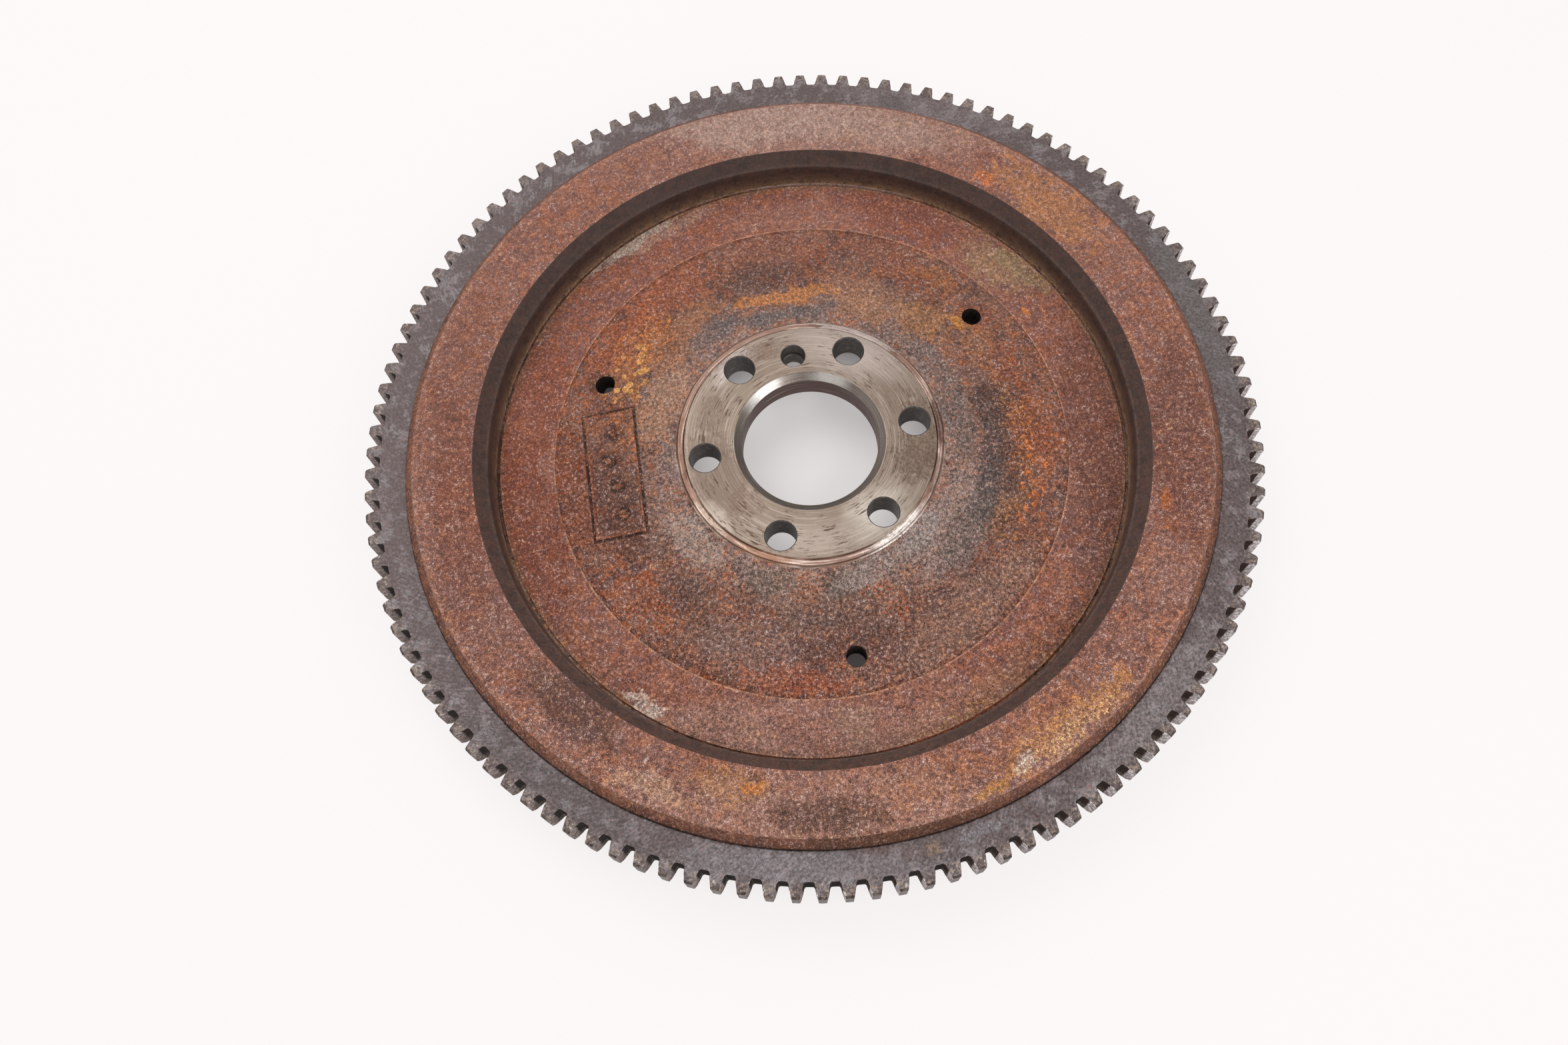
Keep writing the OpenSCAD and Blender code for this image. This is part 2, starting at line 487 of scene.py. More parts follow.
def lay_borders(mix: Recipe, colour: Channel, borders: Iterable[Border]) -> Channel:
    """Lays the bands round pads over a colour, in order, such as the painted shade in a
    pad's groove.

    Args:
        mix: The material's recipe.
        colour: The colour under it.
        borders: The pads' borders.

    Returns:
        The colour with the borders.
    """
    for border in borders:
        local = mix.local(mix.warped(4.0, 0.5), border.angle, border.radius)
        x, y, _ = mix.split(mix.vector("ABSOLUTE", {0: local}))
        off = (x - border.across).most(y - border.along)
        line = off.rise(-border.width, 0.0) * off.rise(border.width, 0.0)
        # Noise that breaks up each band, the painted shade as well.
        worn = mix.noise(5.0, 3.0, 0.7).rise(0.34, 0.56)
        colour = mix.mix(colour, srgb(border.colour), line * worn * border.share)
    return colour


def lay_patches(mix: Recipe, colour: Channel, patches: Iterable[Patch]) -> Channel:
    """Lays ragged patches over a colour, in order.

    Args:
        mix: The material's recipe.
        colour: The colour under them.
        patches: The patches.

    Returns:
        The colour with its patches.
    """
    if not patches:
        return colour
    where = mix.warped(11.0, 5.0)
    tear = mix.noise(3.4, 6.0, 0.8) - 0.5
    fleck = mix.noise(1.1, 4.0, 0.78)
    for patch in patches:
        size = (patch.across, patch.along, PATCH_HEIGHT)
        local = mix.local(where, patch.angle, patch.radius, size)
        settings = {"gradient_type": "SPHERICAL"}
        spot = mix.node("ShaderNodeTexGradient", settings, {0: local}, 1)
        ragged = min(1.0, patch.torn)
        torn = spot + tear * (patch.torn * 1.6)
        torn = torn.rise(0.2 * ragged, 0.95 - 0.53 * ragged)
        bare = 0.43 + 0.1 * patch.flecks
        flecks = fleck.rise(bare, bare + 0.06) * patch.flecks + (1 - patch.flecks)
        if patch.dots:
            inputs = {"Vector": mix.place, "Scale": 1 / patch.dots}
            flecks = mix.node("ShaderNodeTexVoronoi", None, inputs).rise(0.4, 0.33)
        share = torn * flecks * spot.rise(0.0, 0.16) * patch.share
        colour = mix.mix(colour, srgb(patch.colour), share)
    return colour


@dataclass(frozen=True)
class RustedIron:
    """Cast iron under a skin of rust, as cast or turned."""

    name: str
    stops: tuple[tuple[float, Colour], ...]
    blooms: tuple[Bloom, ...] = ()
    patches: tuple[Patch, ...] = ()
    borders: tuple[Border, ...] = ()
    warm: Colour = (182, 106, 68)
    cool: Colour = (114, 84, 84)
    mottle: float = 0.5
    mottle_size: float = 3.4
    # Colours of the painted glints on cool rust and on warm rust, and how much of them
    # shows.
    glint_colour: Colour = (232, 212, 202)
    glint_gold: Colour = (232, 178, 120)
    glint_share: float = 0.75
    pit: float = 0.65
    grain_size: float = 0.9
    grain_depth: float = 0.12
    turned: float = 0.0
    # Painted light: how much lighter or darker the colour is painted at the far and the
    # near side.
    far_painted_light: float = 1.0
    near_painted_light: float = 1.0
    roughness: float = 0.7

    def material(self) -> bpy.types.Material:
        """Builds the finish.

        Returns:
            The material.
        """
        mix = Recipe(self.name)
        hue = mix.noise(self.mottle_size, 6.0, 0.78)
        colour = self.base(mix)
        warm, cool = hue.rise(0.5, 0.58), hue.rise(0.5, 0.42)
        colour = mix.mix(colour, srgb(self.warm), warm * self.mottle)
        colour = mix.mix(colour, srgb(self.cool), cool * self.mottle)
        colour = lay_blooms(mix, colour, self.blooms)
        colour = lay_patches(mix, colour, self.patches)
        colour = lay_borders(mix, colour, self.borders)
        # Painted light: the colour is scaled from its far-side value to its near-side
        # value.
        colour = mix.shade(colour, mix.toward(self.far_painted_light, self.near_painted_light))
        grain = mix.noise(self.grain_size, 4.0, 0.8)
        fine = mix.noise(self.grain_size * 0.3, 1.0, 0.6)
        if self.turned:
            marks = mix.streaks(14.0, 0.5)
            grain = grain * (1 - self.turned) + marks * self.turned
        cloud = mix.noise(6.0, 4.0, 0.7).rise(0.4, 0.6)
        tone = grain * 0.7 + fine * 0.3
        # Painted light: the grain's contrast and its glints grow from the far side to the
        # near side.
        painted_sheen_by_side = mix.toward(0.76, 1.16)
        pits = tone.rise(0.5, 0.43) * (cloud * 0.4 + 0.6) * painted_sheen_by_side
        colour = mix.shade(colour, 1 - pits * self.pit)
        crests = tone.rise(0.5, 0.57) * painted_sheen_by_side
        colour = mix.shade(colour, 1 + crests * (self.pit * 0.7))
        # Painted glints: pale or gold sparkle on the grain's crests, stronger toward the
        # near side.
        painted_glint = tone.rise(0.55, 0.6) * ((1 - cloud) * 0.65 + 0.35) * painted_sheen_by_side
        glint_colour = mix.mix(srgb(self.glint_colour), srgb(self.glint_gold), warm)
        colour = mix.mix(colour, glint_colour, painted_glint * self.glint_share)
        normal = mix.bump(grain.rise(0.3, 0.7), self.grain_depth)
        roughness = self.roughness + (grain - 0.5) * 0.5
        return mix.finish(colour, roughness, 0.0, normal, 0.35)

    def base(self, mix: Recipe) -> Channel:
        """Colour by the distance from the axis.

        Args:
            mix: The material's recipe.

        Returns:
            The colour.
        """
        first, last = self.stops[0][0], self.stops[-1][0]
        span = max(last - first, 1e-3)
        share = (mix.radius() - first) / span
        stops = [((r - first) / span, srgb(colour)) for r, colour in self.stops]
        return mix.node("ShaderNodeValToRGB", {"stops": stops}, {0: share})


class Marks(Enum):
    """How a tool or a stone ran over bright metal."""

    ROUND = "round"
    PLAIN = "plain"


@dataclass(frozen=True)
class TurnedSteel:
    """Bright metal with fine tool marks and brown stains."""

    name: str
    colour: Colour
    stain: Colour = (104, 78, 62)
    light: Colour = (206, 194, 184)
    stain_share: float = 0.4
    smear_share: float = 0.3
    mark_size: float = 0.45
    mark_depth: float = 0.012
    mark_share: float = 0.3
    roughness: float = 0.42
    metallic: float = 0.7
    marks: Marks = Marks.ROUND
    patches: tuple[Patch, ...] = ()

    def material(self) -> bpy.types.Material:
        """Builds the finish.

        Returns:
            The material.
        """
        mix = Recipe(self.name)
        fleck = mix.noise(0.8, 4.0, 0.7)
        if self.marks is Marks.ROUND:
            lines = mix.streaks(16.0, self.mark_size)
            short = mix.streaks(4.5, self.mark_size * 1.3, 4.0)
        else:
            lines, short = mix.noise(1.6, 4.0, 0.6), fleck
        broad = mix.noise(10.0, 3.0, 0.6)
        light = lines.rise(0.5, 0.66) * self.mark_share
        colour = mix.mix(srgb(self.colour), srgb(self.light), light)
        colour = lay_patches(mix, colour, self.patches)
        smear = short.rise(0.54, 0.62) * broad.rise(0.44, 0.6) * self.smear_share
        spots = fleck.rise(0.6, 0.66) * broad.rise(0.4, 0.6) * self.stain_share
        stain = smear.most(spots)
        colour = mix.mix(colour, srgb(self.stain), stain)
        grain = lines.rise(0.35, 0.65) * 0.6 + fleck.rise(0.36, 0.64) * 0.4
        colour = mix.shade(colour, 0.9 + grain * 0.2)
        normal = mix.bump(grain, self.mark_depth)
        roughness = self.roughness + stain * 0.3 + (fleck - 0.5) * 0.2
        return mix.finish(colour, roughness, self.metallic * (1 - stain), normal)


@dataclass(frozen=True)
class ScaledSteel:
    """Heat-treated steel of the ring gear, with grinding strokes and rust flecks."""

    name: str
    colour: Colour = (105, 92, 91)
    pale: Colour = (154, 149, 152)
    rust: Colour = (120, 68, 54)
    foot: Colour = (156, 144, 132)
    foot_share: float = 0.0
    specular: float = 0.5
    worn: Colour = (156, 138, 118)
    bright: Colour = (228, 224, 218)
    pale_share: float = 0.7
    rust_share: float = 0.6
    worn_share: float = 0.0
    worn_from: float = 144.0
    worn_to: float = 148.6
    worn_tear: float = 1.0
    worn_wander: float = 9.0
    stroke_share: float = 0.16
    contrast: float = 0.7
    roughness: float = 0.5
    metallic: float = 0.4
    patches: tuple[Patch, ...] = ()

    def material(self) -> bpy.types.Material:
        """Builds the finish.

        Returns:
            The material.
        """
        mix = Recipe(self.name)
        strokes = self.strokes(mix)
        cloud = mix.noise(7.0, 5.0, 0.75)
        blot = mix.noise(3.2, 5.0, 0.78)
        fleck = mix.noise(1.0, 4.0, 0.75)
        scale = cloud * (0.6 - self.stroke_share) + blot * 0.4
        scale = scale + strokes * self.stroke_share
        pale = scale.rise(0.49, 0.58) * self.pale_share
        colour = mix.mix(srgb(self.colour), srgb(self.pale), pale)
        rust = (fleck * 0.45 + blot * 0.55).rise(0.53, 0.6) * self.rust_share
        colour = mix.mix(colour, srgb(self.rust), rust * cloud.rise(0.4, 0.6))
        colour = lay_patches(mix, colour, self.patches)
        if self.worn_share:
            radius = mix.radius() + (blot - 0.5) * self.worn_wander
            edge = radius.rise(self.worn_from, self.worn_to) * self.worn_share
            tear = mix.noise(2.0, 4.0, 0.75).rise(0.46, 0.58) * self.worn_tear
            edge = edge * (tear + (1 - self.worn_tear))
            colour = mix.mix(colour, srgb(self.worn), edge)
            shine = mix.noise(0.9, 2.0, 0.6).rise(0.56, 0.64) * edge
            colour = mix.mix(colour, srgb(self.bright), shine * 0.8)
        if self.foot_share:
            height = mix.split(mix.place)[2] + (blot - 0.5) * 8
            foot = height.rise(-5.5, -8.0) * self.foot_share
            colour = mix.mix(colour, srgb(self.foot), foot)
        grain = strokes.rise(0.35, 0.65) * 0.25 + fleck.rise(0.38, 0.62) * 0.75
        # Real grain, with its contrast painted stronger toward the near side as painted
        # sheen.
        grain_and_side_sheen = (grain - 0.5) * mix.toward(0.8, 1.5)
        colour = mix.shade(colour, 1 + grain_and_side_sheen * self.contrast)
        normal = mix.bump(grain, 0.05)
        roughness = self.roughness + rust * 0.3 + (fleck - 0.5) * 0.2
        metallic = self.metallic * (1 - rust)
        return mix.finish(colour, roughness, metallic, normal, self.specular)

    @staticmethod
    def strokes(mix: Recipe) -> Channel:
        """Strokes that cross the ring's face at a slant.

        Args:
            mix: The material's recipe.

        Returns:
            Noise that is long along a stroke and short across it.
        """
        radius = mix.radius()
        turned = mix.node(
            "ShaderNodeVectorRotate",
            {"rotation_type": "Z_AXIS"},
            {"Vector": mix.place, "Angle": (radius - 140) * 0.006},
        )
        x, y, z = mix.split(turned)
        where = mix.node(
            "ShaderNodeCombineXYZ",
            None,
            {0: x / radius * 140, 1: y / radius * 140, 2: radius * 0.3 + z * 0.1},
        )
        return mix.noise(0.8, 4.0, 0.75, where)


class Studio:
    """Floor, lamps and camera, which aren't part of the object."""

    sky_colour: Colour = (252, 249, 248)
    sky_strength: float = 0.56
    floor_colour: Colour = (254, 250, 250)
    floor_size: float = 6.0
    camera_place: Triple = (-28.72, -191.22, 419.94)
    camera_right: Triple = (0.9839, -0.1756, -0.0335)
    camera_back: Triple = (-0.0330, -0.3624, 0.9314)
    lens: float = 31.596

    def build(self) -> None:
        """Sets up the view, the light, the floor and the camera."""
        scene = bpy.context.scene
        scene.view_settings.view_transform = "Standard"
        self.add_world(scene)
        self.add_floor()
        self.add_lamp("softbox_far", (-260, 340, 900), 620, 3.6)
        self.add_lamp("softbox_near", (420, -560, 760), 520, 2.4)
        self.add_camera(scene)

    def add_world(self, scene: bpy.types.Scene) -> None:
        """Gives the scene an even pale sky.

        Args:
            scene: The scene.
        """
        world = bpy.data.worlds.new("studio")
        world.use_nodes = True
        sky = world.node_tree.nodes["Background"]
        sky.inputs["Color"].default_value = srgb(self.sky_colour)
        sky.inputs["Strength"].default_value = self.sky_strength
        scene.world = world

    def add_floor(self) -> None:
        """Lays a plain pale floor under the object's lowest point."""
        bpy.ops.object.select_all(action="DESELECT")
        bpy.ops.mesh.primitive_plane_add(size=1.0)
        bpy.ops.object.mode_set(mode="EDIT")
        bpy.ops.mesh.select_all(action="SELECT")
        bpy.ops.transform.resize(value=(self.floor_size, self.floor_size, 1.0))
        bpy.ops.transform.translate(value=(0.0, 0.0, cad_box[0].z))
        bpy.ops.object.mode_set(mode="OBJECT")
        floor = bpy.context.active_object
        floor.name = "floor"
        mix = Recipe("pale_floor")
        pale = {"Color": srgb(self.floor_colour)}
        matt = mix.node("ShaderNodeBsdfDiffuse", None, pale)
        glow = mix.node("ShaderNodeEmission", None, {**pale, "Strength": 1.0})
        seen = mix.node("ShaderNodeLightPath", None, None, "Is Camera Ray")
        gloss = mix.node("ShaderNodeLightPath", None, None, "Is Glossy Ray")
        radius = mix.radius()
        # The glow is full beyond the object, none under it, and a little under half inside
        # the bore, where it is painted light falling through the bore.
        open_floor = radius.rise(110.0, 150.0).most(radius.rise(62.0, 34.0) * 0.46)
        share = (seen * 0.85 + gloss * 0.5) * (open_floor * 0.96 + 0.04)
        shader = mix.node("ShaderNodeMixShader", None, {0: share, 1: matt, 2: glow})
        mix.node("ShaderNodeOutputMaterial", None, {"Surface": shader})
        floor.data.materials.append(mix.material)

    def add_lamp(self, name: str, place: Triple, size: float, power: float) -> None:
        """Hangs a soft square lamp that faces the object.

        Args:
            name: The lamp's name.
            place: Where it hangs, in millimetres.
            size: Its side in millimetres.
            power: Its power in watts.
        """
        lamp = bpy.data.lights.new(name, "AREA")
        lamp.size = size * MM
        lamp.energy = power
        holder = bpy.data.objects.new(name, lamp)
        bpy.context.collection.objects.link(holder)
        holder.location = Vector(place) * MM
        holder.rotation_euler = (-holder.location).to_track_quat("-Z", "Y").to_euler()

    def add_camera(self, scene: bpy.types.Scene) -> None:
        """Sets the camera over the object's near side.

        Args:
            scene: The scene that it becomes the camera of.
        """
        lens = bpy.data.cameras.new("camera")
        lens.lens = self.lens
        lens.sensor_width = 36.0
        lens.clip_start, lens.clip_end = 0.01, 20.0
        camera = bpy.data.objects.new("camera", lens)
        scene.collection.objects.link(camera)
        back = Vector(self.camera_back).normalized()
        right = Vector(self.camera_right)
        right = (right - back * right.dot(back)).normalized()
        basis = Matrix((right, back.cross(right), back)).transposed()
        camera.matrix_world = Matrix.LocRotScale(
            Vector(self.camera_place) * MM, basis.to_quaternion(), None
        )
        scene.camera = camera


# ------------------------------------------------------------------- workbench


@dataclass(frozen=True)
class Corner:
    """A corner of a section, with the width of its broken edge."""

    r: float
    z: float
    edge: float = 0.0


class Workpiece:
    """One mesh on the bench, shaped with edit-mode tools."""

    def __init__(self, name: str, start: Sequence[float]) -> None:
        """Adds a primitive and gathers it in one point, from which lines are drawn.

        Args:
            name: The piece's name.
            start: The first point, in millimetres.
        """
        bpy.ops.object.select_all(action="DESELECT")
        bpy.ops.mesh.primitive_plane_add(size=MM)
        self.body = bpy.context.active_object
        self.body.name = name
        self.body.data.name = name
        bpy.ops.object.mode_set(mode="EDIT")
        bpy.ops.mesh.select_mode(type="VERT")
        bpy.ops.mesh.select_all(action="SELECT")
        bpy.ops.mesh.merge(type="CENTER")
        bpy.ops.transform.translate(value=Vector(start) * MM)
        bpy.ops.object.mode_set(mode="OBJECT")

    def activate(self) -> None:
        """Makes this the only selected and the active piece."""
        bpy.ops.object.select_all(action="DESELECT")
        self.body.select_set(True)
        bpy.context.view_layer.objects.active = self.body

    def edit(self, everything: bool = False) -> None:
        """Enters edit mode.

        Args:
            everything: True to select the whole mesh.
        """
        self.activate()
        bpy.ops.object.mode_set(mode="EDIT")
        if everything:
            bpy.ops.mesh.select_all(action="SELECT")

    @staticmethod
    def leave() -> None:
        """Leaves edit mode."""
        bpy.ops.object.mode_set(mode="OBJECT")

    def draw(self, points: Iterable[Sequence[float]]) -> "Workpiece":
        """Draws on from the selected point by extruding it along a line of points.

        Args:
            points: The points in millimetres, the first of which is where it stands.

        Returns:
            The piece itself.
        """
        self.edit()
        bpy.ops.mesh.select_mode(type="VERT")
        points = [Vector(point) * MM for point in points]
        for last, point in zip(points, points[1:]):
            bpy.ops.mesh.extrude_region_move(
                TRANSFORM_OT_translate={"value": point - last}
            )
        self.leave()
        return self

    def pick(self, what: str, test: Callable[[object], bool]) -> int:
        """Selects vertices, edges or faces by their place, and nothing else.

        Args:
            what: VERT, EDGE or FACE.
            test: Takes a vertex's place, the places of an edge's ends, or a face.

        Returns:
            How many were selected.
        """
        self.edit()
        bpy.ops.mesh.select_mode(type=what)
        bpy.ops.mesh.select_all(action="DESELECT")
        self.leave()
        mesh = self.body.data
        place = [vertex.co / MM for vertex in mesh.vertices]
        count = 0
        if what == "VERT":
            parts = [(vertex, place[vertex.index]) for vertex in mesh.vertices]
        elif what == "EDGE":
            parts = [(edge, [place[v] for v in edge.vertices]) for edge in mesh.edges]
        else:
            parts = [(face, face) for face in mesh.polygons]
        for part, value in parts:
            if test(value):
                part.select = True
                count += 1
        self.edit()
        return count

    def join_picked(self) -> None:
        """Makes an edge or a face of what is selected, then leaves edit mode."""
        bpy.ops.mesh.edge_face_add()
        self.leave()

    def soften(self, places: Sequence[Point], edge: float, steps: int = 2) -> None:
        """Rounds corners of a drawn section.

        Args:
            places: Radius and height of the corners, in millimetres.
            edge: Width of the rounding, in millimetres.
            steps: Segments in it.
        """

        def at_corner(v: Vector) -> bool:
            """True for a vertex that stands at one of the corners."""
            return any(max(abs(v.x - r), abs(v.z - z)) < 1e-3 for r, z in places)

        self.pick("VERT", at_corner)
        bpy.ops.mesh.bevel(
            offset=edge * MM, segments=steps, affect="VERTICES", clamp_overlap=True
        )
        self.leave()

    def divide(self, test: Callable[[object], bool], cuts: int) -> None:
        """Subdivides the edges that a test picks.

        Args:
            test: Takes the places of an edge's ends, in millimetres.
            cuts: Number of cuts in each.
        """
        if self.pick("EDGE", test):
            bpy.ops.mesh.subdivide(number_cuts=cuts)
        self.leave()

    def spin(self, steps: int, turn: float = 360.0) -> "Workpiece":
        """Spins the drawn section about the axis.

        Args:
            steps: Number of steps.
            turn: Angle in degrees.

        Returns:
            The piece itself.
        """
        self.edit(everything=True)
        bpy.ops.mesh.spin(
            steps=steps,
            angle=math.radians(turn),
            center=(0.0, 0.0, 0.0),
            axis=(0.0, 0.0, 1.0),
            use_auto_merge=True,
        )
        self.leave()
        return self.tidy()

    def tidy(self, reach: float = 0.002) -> "Workpiece":
        """Merges doubles and turns every face outwards.

        Args:
            reach: How close doubles are, in millimetres.

        Returns:
            The piece itself.
        """
        self.edit(everything=True)
        bpy.ops.mesh.remove_doubles(threshold=reach * MM)
        bpy.ops.mesh.normals_make_consistent(inside=False)
        self.leave()
        return self

    def close_ends(self) -> None:
        """Fills every open end of the mesh and turns the faces outwards."""
        self.edit()
        bpy.ops.mesh.select_mode(type="EDGE")
        bpy.ops.mesh.select_all(action="DESELECT")
        bpy.ops.mesh.select_non_manifold()
        bpy.ops.mesh.edge_face_add()
        self.leave()
        self.tidy()

    def trim(self, place: Sequence[float], normal: Sequence[float]) -> None:
        """Cuts off what lies beyond a plane and closes the cut.

        Args:
            place: A point of the plane, in millimetres.
            normal: Points to the side that goes.
        """
        self.edit(everything=True)
        bpy.ops.mesh.bisect(
            plane_co=Vector(place) * MM,
            plane_no=normal,
            use_fill=True,
            clear_outer=True,
        )
        self.leave()

    def moved(self, matrix: Matrix) -> "Workpiece":
        """Moves the mesh itself by a matrix whose lengths are metres."""
        self.body.data.transform(matrix)
        return self

    def copy(self, matrix: Matrix) -> "Workpiece":
        """A copy with its own mesh, moved by a matrix.

        Args:
            matrix: Where the copy goes, with lengths in metres.

        Returns:
            The copy.
        """
        twin = object.__new__(Workpiece)
        twin.body = self.body.copy()
        twin.body.data = self.body.data.copy()
        bpy.context.collection.objects.link(twin.body)
        return twin.moved(matrix)

    def modify(self, kind: str, **settings: object) -> None:
        """Adds a modifier and applies it.

        Args:
            kind: The modifier's type.
            settings: Its properties.
        """
        modifier = self.body.modifiers.new(kind.lower(), kind)
        for key, value in settings.items():
            setattr(modifier, key, value)
        self.activate()
        bpy.ops.object.modifier_apply(modifier=modifier.name)

    def break_edges(self, width: float, segments: int, angle: float) -> None:
        """Bevels every edge that is sharper than an angle.

        Args:
            width: Width of the bevel, in millimetres.
            segments: Segments in it.
            angle: In degrees.
        """
        self.modify(
            "BEVEL",
            width=width * MM,
            segments=segments,
            limit_method="ANGLE",
            angle_limit=math.radians(angle),
        )

    def combine(self, others: Sequence["Workpiece"], operation: str) -> None:
        """Joins other pieces to this one or cuts them from it, and uses them up.

        Args:
            others: Closed pieces that don't touch each other.
            operation: UNION or DIFFERENCE.
        """
        bpy.ops.object.select_all(action="DESELECT")
        for other in others:
            other.body.select_set(True)
        tool = others[0].body
        bpy.context.view_layer.objects.active = tool
        if len(others) > 1:
            bpy.ops.object.join()
        self.modify("BOOLEAN", operation=operation, solver="EXACT", object=tool)
        bpy.data.objects.remove(tool)

    def group(self, name: str, weigh: Callable[[Vector], float]) -> str:
        """Weighs every vertex by its place.

        Args:
            name: The vertex group's name.
            weigh: Takes a place in millimetres and gives 0 to 1.

        Returns:
            The group's name.
        """
        weights = self.body.vertex_groups.new(name=name)
        for vertex in self.body.data.vertices:
            share = weigh(vertex.co / MM)
            if share > 0:
                weights.add([vertex.index], share, "REPLACE")
        return weights.name

    def roughen(self, group: str, size: float, depth: float) -> None:
        """Pushes the vertices of a group in and out by noise.

        Args:
            group: The vertex group.
            size: Size of the lumps, in millimetres.
            depth: How far from the lowest to the highest, in millimetres.
        """
        lumps = bpy.data.textures.new(f"lumps_{size:g}", "CLOUDS")
        lumps.noise_scale = size * MM
        lumps.noise_depth = 2
        self.modify(
            "DISPLACE",
            texture=lumps,
            texture_coords="LOCAL",
            strength=depth * MM,
            mid_level=0.5,
            vertex_group=group,
        )

    def smooth(self, angle: float = 40.0) -> None:
        """Shades smooth up to an angle and keeps flat faces flat.

        Args:
            angle: Edges sharper than this stay sharp, in degrees.
        """
        self.activate()
        bpy.ops.object.shade_smooth_by_angle(angle=math.radians(angle))
        self.modify("WEIGHTED_NORMAL", keep_sharp=True, weight=50)

    def dress(
        self,
        finishes: Mapping[Enum, bpy.types.Material],
        zone_of: Callable[[bpy.types.MeshPolygon], Enum],
    ) -> None:
        """Gives each face the material of its zone.

        Args:
            finishes: The material of each zone.
            zone_of: Takes a face and gives its zone.
        """
        zones = list(finishes)
        self.body.data.materials.clear()
        for zone in zones:
            self.body.data.materials.append(finishes[zone])
        for face in self.body.data.polygons:
            face.material_index = zones.index(zone_of(face))

    def ride(self, slot: str, *nodes: str) -> bpy.types.Object:
        """Hands the piece to the frame.

        Args:
            slot: Not used.
            nodes: The CAD nodes that it stands for.

        Returns:
            The piece's object.
        """
        if nodes:
            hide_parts(*nodes)
        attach(self.body, "root")
        return self.body


def turned(name: str, corners: Sequence[Corner], steps: int) -> Workpiece:
    """Turns a closed section that starts and ends on the axis.

    Args:
        name: The piece's name.
        corners: The section's corners, in order.
        steps: Steps round the axis.

    Returns:
        The turned piece.
    """
    line = [(c.r, 0.0, c.z) for c in corners]
    return Workpiece(name, line[0]).draw(line).spin(steps)


def off_axis(place: Vector) -> float:
    """Distance of a place from the axis."""
    return math.hypot(place.x, place.y)


def at(radius: float, angle: float, z: float = 0.0) -> Matrix:
    """Matrix that moves a piece from the axis out to a radius, at an angle.

    Args:
        radius: In millimetres.
        angle: In degrees.
        z: Height in millimetres.

    Returns:
        The matrix, in metres.
    """
    turn = Matrix.Rotation(math.radians(angle), 4, "Z")
    return turn @ Matrix.Translation(Vector((radius, 0.0, z)) * MM)


# ------------------------------------------------------------------------ disc

# Normals: least height of a level face's, and most height of an upright face's.
LEVEL, UPRIGHT = 0.97, 0.3
# Places of the date marks along the pad, in steps from its middle.
MARK_TURNS = (-1.5, -0.5, 0.5, 1.5)


class DiscZone(Enum):
    """The disc's surfaces, by how they are made and worn."""

    HUB_FACE = "hub_face"
    HUB_STEP = "hub_step"
    BORE_LEAD = "bore_lead"
    BORE_WALL = "bore_wall"
    HOLE_WALL = "hole_wall"
    SERVICE_HOLE = "service_hole"
    WEB = "cast_web"
    LAND = "turned_land"
    GROOVE = "relief_groove"
    DISH_WALL = "dish_wall"
    RIM_TOP = "rim_top"
    RIM_BEVEL = "rim_bevel"
    BACK_CAST = "back_cast"
    FRICTION = "friction_face"
    COVER_FACE = "cover_face"


